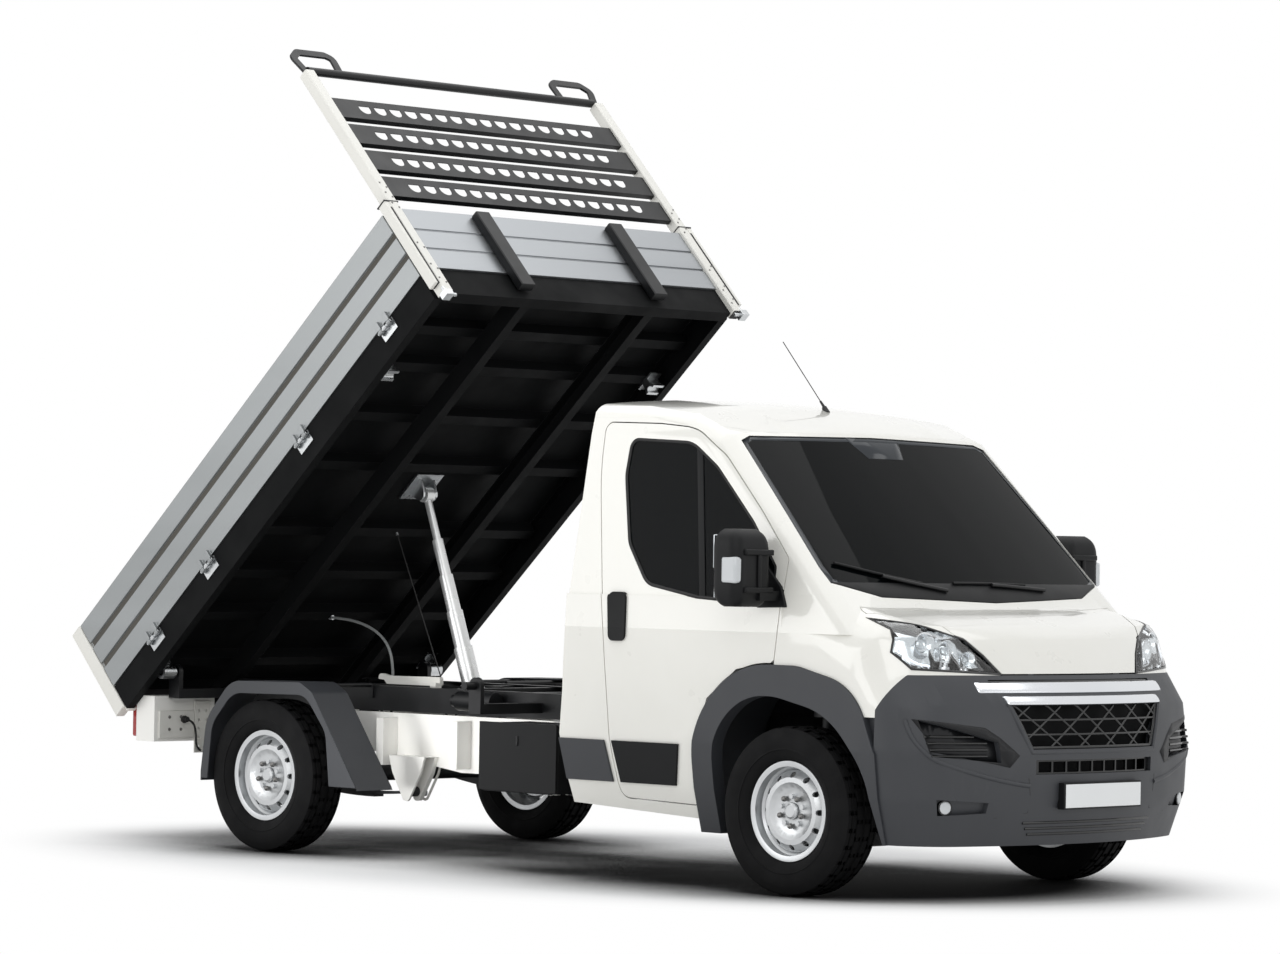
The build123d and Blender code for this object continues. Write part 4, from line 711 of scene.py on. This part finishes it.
band = skin("cab_glass", screen_front)
only_edge(band, 0.030)
laid("windscreen_enamel_band", band, enamel_band, 0.0012)
patch = skin("cab_glass", screen_front)
trim(patch, ((0, 0, 1.935), (0, 0, -1)),
     ((0.12, 0, 1.935), (0.8, 0, -0.55)), ((-0.12, 0, 1.935), (-0.8, 0, -0.55)))
laid("windscreen_sensor_patch", patch, enamel_band, 0.0012)
scuttle = skin("cab_glass", screen_front)
trim(scuttle, ((0, 0, 1.372), (0, 0, 1)))
laid("windscreen_scuttle", scuttle, black_plastic, 0.006, bevel=0.002)
rear_band = skin("cab_glass", lambda centre, normal: centre.y > 1 and normal.y > 0.5)
only_edge(rear_band, 0.022)
laid("rear_window_band", rear_band, seal_rubber, 0.0020)

for side, sign in SIDES:
    def outside(centre, normal):
        """The outside of a door's glass."""
        return normal.x * sign > 0.5

    seal = skin(f"door_glass_{side}", outside)
    only_edge(seal, 0.014)
    laid(f"door_glass_seal_{side}", seal, seal_rubber, 0.0050, f"door_{side}")
    post = skin(f"door_glass_{side}", outside)
    trim(post, ((0, 0.548, 1.6), (0, -1, 0.12)), ((0, 0.584, 1.6), (0, 1, -0.12)))
    laid(f"quarter_light_post_{side}", post, black_plastic, 0.0040, f"door_{side}",
         bevel=0.0015)

# Interior mirror, wipers and aerial
glass_tree = surface_tree("cab_glass")


def wiper(name, arm, blade):
    """A wiper arm with its blade, lying on the windscreen."""
    points = [from_front(glass_tree, x, z, 0.022) for x, z in arm]
    line(name + "_arm", [points], 0.0085, powder_coat, order=3)
    rubber = [from_front(glass_tree, x, z, 0.009) for x, z in blade]
    spine = [from_front(glass_tree, x, z, 0.016) for x, z in blade]
    line(name + "_blade", [rubber], 0.0045, seal_rubber)
    line(name + "_spine", [spine], 0.0065, black_plastic)


wiper("right_wiper", [(-0.28, 1.345), (-0.45, 1.372), (-0.62, 1.405)],
      [(-0.84, 1.46), (-0.70, 1.43), (-0.55, 1.40), (-0.40, 1.375)])
wiper("left_wiper", [(0.42, 1.350), (0.25, 1.362), (0.05, 1.372)],
      [(-0.20, 1.378), (-0.02, 1.378), (0.16, 1.375), (0.30, 1.372)])

inside_mirror = bmesh.new()
slab(inside_mirror, (-0.125, 0.500, 1.850), (0.125, 0.525, 1.915))
round_bar(inside_mirror, (0, 0.515, 1.90), (0, 0.45, 1.955), 0.012)
finished("interior_mirror", inside_mirror, black_plastic, bevel=0.008)

aerial = bmesh.new()
round_bar(aerial, (0, 0.690, 2.150), (0, 0.706, 2.178), 0.017, tip=0.011)
round_bar(aerial, (0, 0.706, 2.178), (0, 0.730, 2.206), 0.007, tip=0.005)
round_bar(aerial, (0, 0.730, 2.206), (0, 0.969, 2.485), 0.0022, 12)
finished("roof_aerial", aerial, seal_rubber)

# Headlights: clear lens over a black bezel, bright bowls and a daylight strip
lamp_tree = surface_tree("headlights")


def lamp_front(centre, normal):
    """The outside of a headlight."""
    return normal.y < -0.03


lens = skin("headlights", lamp_front)
laid("headlight_lenses", lens, clear_lens, 0.0025, inward=True)
bezel = skin("headlights", lambda centre, normal: not lamp_front(centre, normal))
backs = {vert for face in bezel.faces if face.normal.y > 0.03 for vert in face.verts}
for vert in backs:
    vert.co.y += 0.030
bmesh.ops.reverse_faces(bezel, faces=bezel.faces)
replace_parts(finished("headlight_bezels", bezel, gloss_plastic), "headlights")
shell = skin("headlights", lambda centre, normal: normal.y > 0.03)
bmesh.ops.reverse_faces(shell, faces=shell.faces)
bmesh.ops.translate(shell, verts=shell.verts, vec=(0, 0.012, 0))
inner = set(bmesh.ops.inset_region(shell, faces=shell.faces[:], thickness=0.022, use_boundary=True)["faces"])
bmesh.ops.delete(shell, geom=list(inner), context="FACES")
trim(shell, ((0.90, 0, 1.1), (1, 0, 0)), ((-0.90, 0, 1.1), (-1, 0, 0)))
laid("headlight_reflector_shells", shell, reflector, 0.002)

bowls = bmesh.new()
eyes = bmesh.new()
for x, z, radius in ((0.800, 1.118, 0.050), (0.700, 1.088, 0.046), (0.610, 1.052, 0.034)):
    mouth = from_front(lamp_tree, x, z, -0.012)
    deep = mouth + Vector((-0.012, 0.050, -0.004))
    rim = round_bar(bowls, deep, mouth, radius * 0.45, 32, tip=radius)
    caps = [face for face in {f for v in rim for f in v.link_faces} if len(face.verts) > 4
            and (face.calc_center_median() - mouth).length < 0.004]
    bmesh.ops.delete(bowls, geom=caps, context="FACES_ONLY")
    bmesh.ops.create_uvsphere(eyes, u_segments=24, v_segments=12, radius=radius * 0.42,
                              matrix=Matrix.Translation(deep + Vector((0, -0.012, 0))))
bmesh.ops.reverse_faces(bowls, faces=bowls.faces)
both_halves(bowls, recalculate=False)
both_halves(eyes)
thing = finished("headlight_bowls", bowls, reflector)
wall = thing.modifiers.new("wall", "SOLIDIFY")
wall.thickness = 0.0015
finished("headlight_bulbs", eyes, clear_lens)

strip = [(0.505, 1.000), (0.600, 1.008), (0.700, 1.014), (0.800, 1.021), (0.870, 1.034),
         (0.905, 1.075), (0.905, 1.130)]
strip_run = [tuple(from_front(lamp_tree, x, z, -0.010)) for x, z in strip]
line("daylight_strips", mirrored([strip_run]), 0.0060, light_strip, order=3)
border = skin("headlights", lamp_front)
only_edge(border, 0.010)
laid("headlight_borders", border, gloss_plastic, 0.0020)

# Bumper: intake fins, fog lamps, lower slots, parting lines and the radiator behind the grille
bumper_tree = surface_tree("bumper")
fins = []
for z, start, end in ((0.640, 0.640, 0.900), (0.668, 0.640, 0.906), (0.696, 0.640, 0.912),
                      (0.724, 0.700, 0.918)):
    steps = [start + (end - start) * i / 6 for i in range(7)]
    fins.append([tuple(from_front(bumper_tree, x, z, 0.006)) for x in steps])
line("intake_fins", mirrored(fins), 0.0060, gloss_plastic)

fog = bmesh.new()
fog_glass = bmesh.new()
centre = from_front(bumper_tree, 0.815, 0.420)
outwards = Vector((0.35, -1, 0)).normalized()
round_bar(fog, centre - outwards * 0.010, centre + outwards * 0.016, 0.034, 32)
round_bar(fog_glass, centre + outwards * 0.0162, centre + outwards * 0.020, 0.028, 32, tip=0.024)
both_halves(fog)
both_halves(fog_glass)
finished("fog_lamp_cups", fog, gloss_plastic, bevel=0.002)
finished("fog_lamp_glasses", fog_glass, frosted_acrylic, bevel=0.001)


def nose_run(z, half, out):
    """Points across the bumper at a height."""
    return [tuple(from_front(bumper_tree, half * (i / 6 - 1), z, out)) for i in range(13)]


slots = [nose_run(z, half, -0.002) for z, half in ((0.300, 0.40), (0.325, 0.42), (0.350, 0.44))]
line("lower_intake_slots", slots, 0.0070, gloss_plastic, order=3)
seams = [[tuple(from_front(bumper_tree, x, z, -0.0006)) for x, z in run] for run in (
    [(0.440, 0.545), (0.430, 0.470), (0.425, 0.395)], [(0.425, 0.395), (0.60, 0.372), (0.86, 0.365)])]
line("bumper_parting_lines", mirrored(seams), 0.0016, seal_rubber)

core = bmesh.new()
slab(core, (-0.500, -0.850, 0.560), (0.500, -0.840, 0.870))
finished("radiator_core", core, underbody_black)

# Honeycomb of long hexagons: straight bars in three directions, a frame, and a lip round the opening
MESH_LOW, MESH_HIGH, MESH_HALF, MESH_FLARE = 0.668, 0.858, 0.418, 0.4945
CELL_PITCH, CELL_TALL, CELL_MIDDLE, CELL_BACK = 0.180, 0.063, 0.763, 0.012


def mesh_reach(z):
    """Half the width of the grille's opening at a height."""
    return MESH_HALF + MESH_FLARE * (z - MESH_LOW)


def opening_run(out, proud):
    """A run down one side of the opening, under it and up the other side."""
    low, high = MESH_LOW - out, MESH_HIGH + 0.004
    side = [(mesh_reach(z) + out, z) for z in (high, (low + high) / 2, low)]
    foot = [(side[-1][0] * (1 - step / 6), low) for step in range(1, 12)]
    return [nose_point(x, z, proud) for x, z in side + foot + [(-x, z) for x, z in side[::-1]]]


cells = []
for z in (CELL_MIDDLE - CELL_TALL / 2, CELL_MIDDLE + CELL_TALL / 2):
    cells.append([nose_point(mesh_reach(z) * (step / 8 - 1), z, -CELL_BACK) for step in range(17)])
for lean in (2 * CELL_TALL / CELL_PITCH, -2 * CELL_TALL / CELL_PITCH):
    for number in range(-4, 5):
        heights = [MESH_LOW + (MESH_HIGH - MESH_LOW) * step / 24 for step in range(25)]
        places = [(number * CELL_PITCH + (z - CELL_MIDDLE) / lean, z) for z in heights]
        inside = [nose_point(x, z, -CELL_BACK) for x, z in places if abs(x) <= mesh_reach(z)]
        if len(inside) > 1:
            cells.append(inside)
line("honeycomb_bars", cells, 0.0055, gloss_plastic)
line("honeycomb_frame", [opening_run(-0.006, -0.010)], 0.0090, gloss_plastic)
line("grille_opening_lip", [opening_run(0.014, -0.001)], 0.0100, grained_plastic)

# Inner liners that close the corner between each front arch, wing and bumper
LINER_EDGE = [(-0.515, 0.835), (-0.430, 0.835), (-0.470, 0.740), (-0.500, 0.640), (-0.515, 0.640)]
liners = bmesh.new()
liner_face = liners.faces.new([liners.verts.new((0.978, y, z)) for y, z in LINER_EDGE])
thicken(liners, [liner_face], (0.010, 0, 0))
face_out(liners)
both_halves(liners)
finished("arch_corner_liners", liners, grained_plastic)

# Side intakes: a dark liner over the recess and its inner ramp, as painted shade of the recess, and the
# raised crease under them
INTAKE_EDGE = [(0.948, 0.799), (0.657, 0.763), (0.588, 0.720), (0.492, 0.642), (0.542, 0.591), (0.882, 0.660)]
CREASE = [(0.962, 0.794), (0.955, 0.731), (0.918, 0.655), (0.865, 0.612), (0.735, 0.572), (0.590, 0.536),
          (0.470, 0.516), (0.434, 0.512)]
for side, sign in SIDES:
    liner = skin("bumper", lambda centre, normal: (
        centre.x * sign > 0.3 and normal.y < -0.2 and centre.z > 0.4))
    walls = []
    for one, two in zip(INTAKE_EDGE, INTAKE_EDGE[1:] + INTAKE_EDGE[:1]):
        walls.append(((sign * one[0], 0, one[1]), (sign * (two[1] - one[1]), 0, one[0] - two[0])))
    trim(liner, *walls)
    laid(f"intake_shade_liner_{side}", liner, intake_painted_shade, 0.0015)
creases = [[tuple(from_front(bumper_tree, x, z, -0.003)) for x, z in CREASE]]
line("bumper_creases", mirrored(creases), 0.0110, grained_plastic, order=3)

# Number plate: a blank sheet on its holder
plate = bmesh.new()
slab(plate, (-0.262, -0.9680, 0.414), (0.262, -0.9640, 0.516))
finished("blank_number_plate", plate, plate_sheet, bevel=0.002)
holder = bmesh.new()
slab(holder, (-0.270, -0.9640, 0.407), (0.270, -0.9250, 0.523))
finished("number_plate_holder", holder, black_plastic, bevel=0.003)

# Mirrors: corner plates on the doors, guard bars, clear repeaters and the silvered glasses
CORNER_EDGE = ((0.250, 1.540), (0.050, 1.352), (0.014, 1.262), (0.190, 1.256))
for side, sign in SIDES:
    body = f"door_{side}"
    corner = bmesh.new()
    corner_face = corner.faces.new([corner.verts.new((0, y, z)) for y, z in CORNER_EDGE])
    thicken(corner, [corner_face], (0.030, 0, 0), keep=False)
    for vert in corner.verts:
        vert.co.x = sign * (vert.co.x + 0.988 - (vert.co.z - 1.15) * 0.083)
    face_out(corner)
    finished(f"mirror_corner_{side}", corner, black_plastic, body, bevel=0.006)
    guard = bmesh.new()
    for z in (1.335, 1.500):
        slab(guard, (sign * 1.045, 0.052, z - 0.013), (sign * 1.225, 0.076, z + 0.013))
    slab(guard, (sign * 1.120, 0.054, 1.330), (sign * 1.142, 0.074, 1.505))
    face_out(guard)
    finished(f"mirror_guard_{side}", guard, black_plastic, body, bevel=0.006)
    repeater = bmesh.new()
    slab(repeater, (sign * 1.205, 0.072, 1.365), (sign * 1.2755, 0.160, 1.480))
    face_out(repeater)
    finished(f"mirror_repeater_{side}", repeater, frosted_acrylic, body, bevel=0.012)
    silver = bmesh.new()
    slab(silver, (sign * 1.055, 0.2280, 1.430), (sign * 1.245, 0.2340, 1.575))
    slab(silver, (sign * 1.060, 0.2260, 1.300), (sign * 1.240, 0.2320, 1.405))
    face_out(silver)
    finished(f"mirror_glass_{side}", silver, mirror_silver, body, bevel=0.004)

# Wheels: nuts and hub caps
NUTS, NUT_CIRCLE = 5, 0.065
for wheel, sign, place in WHEELS:
    hub = place @ Matrix.Diagonal((sign, 1, 1, 1))
    nuts = bmesh.new()
    for number in range(NUTS):
        angle = math.tau * (number + 0.5) / NUTS
        across, up = NUT_CIRCLE * math.sin(angle), NUT_CIRCLE * math.cos(angle)
        round_bar(nuts, (0.058, across, up), (0.074, across, up), 0.0125, 6)
        round_bar(nuts, (0.074, across, up), (0.080, across, up), 0.0105, 16, tip=0.006)
    face_out(nuts)
    finished(f"wheel_nuts_{wheel}", nuts, rolled_steel, f"wheel_{wheel}", hub, bevel=0.001)
    cap = bmesh.new()
    round_bar(cap, (0.056, 0, 0), (0.066, 0, 0), 0.037, 40)
    round_bar(cap, (0.066, 0, 0), (0.072, 0, 0), 0.035, 40, tip=0.026)
    face_out(cap)
    finished(f"hub_cap_{wheel}", cap, wheel_lacquer, f"wheel_{wheel}", hub,
             bevel=0.001)

# Chassis: clips on the rail, the rail's flange, and the hangers' rims and bolts
clips = bmesh.new()
for y in (2.70, 3.16):
    for shift in (-0.022, 0.022):
        round_bar(clips, (-0.436, y + shift, 0.655), (-0.452, y + shift * 2.2, 0.722), 0.007, 12)
    slab(clips, (-0.446, y - 0.035, 0.652), (-0.433, y + 0.035, 0.662))
both_halves(clips)
finished("rail_clips", clips, powder_coat, bevel=0.001)

flange = bmesh.new()
slab(flange, (0.4285, 1.70, 0.556), (0.4335, 3.35, 0.561))
both_halves(flange)
finished("rail_flange_edges", flange, rail_paint_lightened, bevel=0.0015)

rim_run = [(-0.433, 2.768, 0.476), (-0.433, 2.792, 0.398), (-0.433, 2.868, 0.272), (-0.433, 2.884, 0.266),
           (-0.433, 2.900, 0.272), (-0.433, 2.976, 0.398), (-0.433, 3.000, 0.476)]
line("hanger_rims", mirrored([rim_run]), 0.0065, chassis_paint)
hanger_bolts = bmesh.new()
bolts(hanger_bolts, [(-0.432, 2.884, 0.300)], (-1, 0, 0), 0.013, 0.012)
bolts(hanger_bolts, [(-0.432, y, z) for y, z in ((2.80, 0.462), (2.97, 0.462), (2.64, 0.60), (2.30, 0.60))],
      (-1, 0, 0))
both_halves(hanger_bolts)
finished("hanger_bolts", hanger_bolts, zinc_plate, bevel=0.001)

# Lamp carriers: plates, perforated brackets, the cable with its gland, and bolts
CARRIER_FACE = 4.304
BRACKET_HOLE = 0.008
carrier = bmesh.new()
slab(carrier, (-0.930, CARRIER_FACE, 0.515), (-0.700, 4.3145, 0.655))
both_halves(carrier)
finished("lamp_carrier_plates", carrier, chassis_paint, bevel=0.004)
bracket = bmesh.new()
turns = [math.tau * turn / 12 for turn in range(12)]
holes = [[(x + BRACKET_HOLE * math.cos(turn), z + BRACKET_HOLE * math.sin(turn)) for turn in turns]
         for x in (-0.672, -0.622) for z in (0.470, 0.515, 0.560, 0.605, 0.650)]
outline = [(-0.698, 0.440), (-0.596, 0.440), (-0.596, 0.700), (-0.698, 0.700)]
punched_plate(bracket, outline, holes, CARRIER_FACE, 0.005)
both_halves(bracket)
finished("lamp_carrier_brackets", bracket, chassis_paint)
gland = bmesh.new()
round_bar(gland, (-0.774, CARRIER_FACE, 0.610), (-0.774, 4.284, 0.610), 0.019, 6)
round_bar(gland, (-0.774, 4.284, 0.610), (-0.774, 4.270, 0.610), 0.014, 20)
finished("lamp_cable_gland", gland, seal_rubber, bevel=0.001)
lamp_cable_run = [(-0.774, 4.275, 0.610), (-0.742, 4.262, 0.600), (-0.716, 4.270, 0.540),
                  (-0.700, 4.290, 0.470), (-0.660, 4.300, 0.452)]
line("lamp_cable", [lamp_cable_run], 0.0055, seal_rubber, order=3)
carrier_bolts = bmesh.new()
bolts(carrier_bolts, [(x, CARRIER_FACE, z) for x in (-0.865, -0.790) for z in (0.622, 0.560)],
      (0, -1, 0), 0.006, 0.005)
both_halves(carrier_bolts)
finished("lamp_carrier_bolts", carrier_bolts, rolled_steel, bevel=0.0006)

# Toolbox latch
latch = bmesh.new()
round_bar(latch, (-0.914, 1.748, 0.610), (-0.922, 1.748, 0.610), 0.020, 28)
slab(latch, (-0.936, 1.742, 0.585), (-0.920, 1.754, 0.630))
finished("toolbox_latch", latch, powder_coat, "toolbox_lid", bevel=0.003)


# Floor and soft light. The floor's white begins sooner to the sides than to the front and rear
FLOOR_STRETCH = (1.35, 0.9, 0)
# SHADE_REACH is how far the painted contact shadow reaches
SHADE_REACH = 1.1


def stage_material(name, colour, near, far):
    """A pale matt floor with a painted contact shadow, from ambient occlusion, that turns to plain white with
    the distance from the truck's middle.
    """
    material = bpy.data.materials.new(name)
    material.use_nodes = True
    tree = material.node_tree
    shader = tree.nodes["Principled BSDF"]
    shader.inputs["Roughness"].default_value = 0.9
    shader.inputs["Specular IOR Level"].default_value = 0.1
    # Ambient occlusion darkens the floor's colour towards near black under and beside the truck: a painted
    # contact shadow
    painted_contact_shadow = add(tree, "ShaderNodeAmbientOcclusion", {"samples": 8}, {"Distance": SHADE_REACH})
    depth = add(tree, "ShaderNodeMapRange", {}, {
        "Value": painted_contact_shadow.outputs["AO"], "From Min": 0.50, "From Max": 0.90, "To Min": 0.0, "To Max": 1.0})
    shade = add(tree, "ShaderNodeMix", {"data_type": "RGBA"}, {"Factor": depth.outputs["Result"]})
    shade.inputs[6].default_value = linear("0c0c0e")
    shade.inputs[7].default_value = linear(colour)
    tree.links.new(shade.outputs[2], shader.inputs["Base Color"])
    where = add(tree, "ShaderNodeTexCoord", {}, {})
    flat = add(tree, "ShaderNodeVectorMath", {"operation": "MULTIPLY"}, {
        0: where.outputs["Object"], 1: FLOOR_STRETCH})
    away = add(tree, "ShaderNodeVectorMath", {"operation": "LENGTH"}, {0: flat.outputs[0]})
    share = add(tree, "ShaderNodeMapRange", {"interpolation_type": "SMOOTHSTEP"}, {
        "Value": away.outputs["Value"], "From Min": near, "From Max": far})
    white = add(tree, "ShaderNodeEmission", {}, {"Color": linear("ffffff"), "Strength": 1.0})
    blend = add(tree, "ShaderNodeMixShader", {}, {
        0: share.outputs["Result"], 1: shader.outputs[0], 2: white.outputs[0]})
    tree.links.new(blend.outputs[0], tree.nodes["Material Output"].inputs["Surface"])
    return material


def lamp(name, place, aim, size, power, spread=180):
    """A soft rectangular studio lamp, whose light fans out over an angle in degrees."""
    data = bpy.data.lights.new(name, "AREA")
    data.shape = "RECTANGLE"
    data.size, data.size_y = size
    data.energy = power
    data.spread = math.radians(spread)
    thing = placed(name, data)
    place = CAB @ Vector(place)
    turn = (CAB @ Vector(aim) - place).to_track_quat("-Z", "Y").to_matrix().to_4x4()
    thing.matrix_world = Matrix.Translation(place) @ turn


lamp("overhead", (0, 1.8, 9.0), (0, 1.8, 0), (12, 14), 600)
lamp("key", (-9.0, -7.0, 6.0), (0, 0.8, 1.2), (7, 5), 240)
lamp("fill", (-10.0, 6.5, 3.5), (0, 2.5, 1.4), (8, 4), 215)
lamp("rail_fill", (-5.5, 3.0, 0.5), (-0.43, 2.5, 0.6), (1.0, 0.4), 3, 24)
lamp("front_strip", (3.5, -10.5, 3.5), (0, 0, 1.2), (5, 4), 110)

floor_work = bmesh.new()
bmesh.ops.create_grid(floor_work, x_segments=1, y_segments=1, size=60)
floor_mesh = bpy.data.meshes.new("studio_floor")
floor_work.to_mesh(floor_mesh)
floor_work.free()
floor = placed("studio_floor", floor_mesh)
floor_mesh.materials.append(stage_material("pale_floor", "fafafa", 2.2, 3.4))

# Sky: white where it is seen straight on, through glass or in a mirror, and softer where it only lights
world = bpy.context.scene.world or bpy.data.worlds.new("world")
bpy.context.scene.world = world
world.use_nodes = True
sky = world.node_tree
for old in list(sky.nodes):
    sky.nodes.remove(old)
path = add(sky, "ShaderNodeLightPath", {}, {})
straight = add(sky, "ShaderNodeMath", {"operation": "MAXIMUM"}, {
    0: path.outputs["Is Camera Ray"], 1: path.outputs["Is Transmission Ray"]})
seen = add(sky, "ShaderNodeMath", {"operation": "MAXIMUM"}, {
    0: straight.outputs[0], 1: path.outputs["Is Glossy Ray"]})
soft = add(sky, "ShaderNodeBackground", {}, {"Color": linear("f4f6f8"), "Strength": 0.45})
white = add(sky, "ShaderNodeBackground", {}, {"Color": linear("ffffff"), "Strength": 1.0})
mixed = add(sky, "ShaderNodeMixShader", {}, {
    0: seen.outputs[0], 1: soft.outputs[0], 2: white.outputs[0]})
add(sky, "ShaderNodeOutputWorld", {}, {"Surface": mixed.outputs[0]})

bpy.context.scene.view_settings.view_transform = "Standard"

# Brings every placement up to date
bpy.context.view_layer.update()
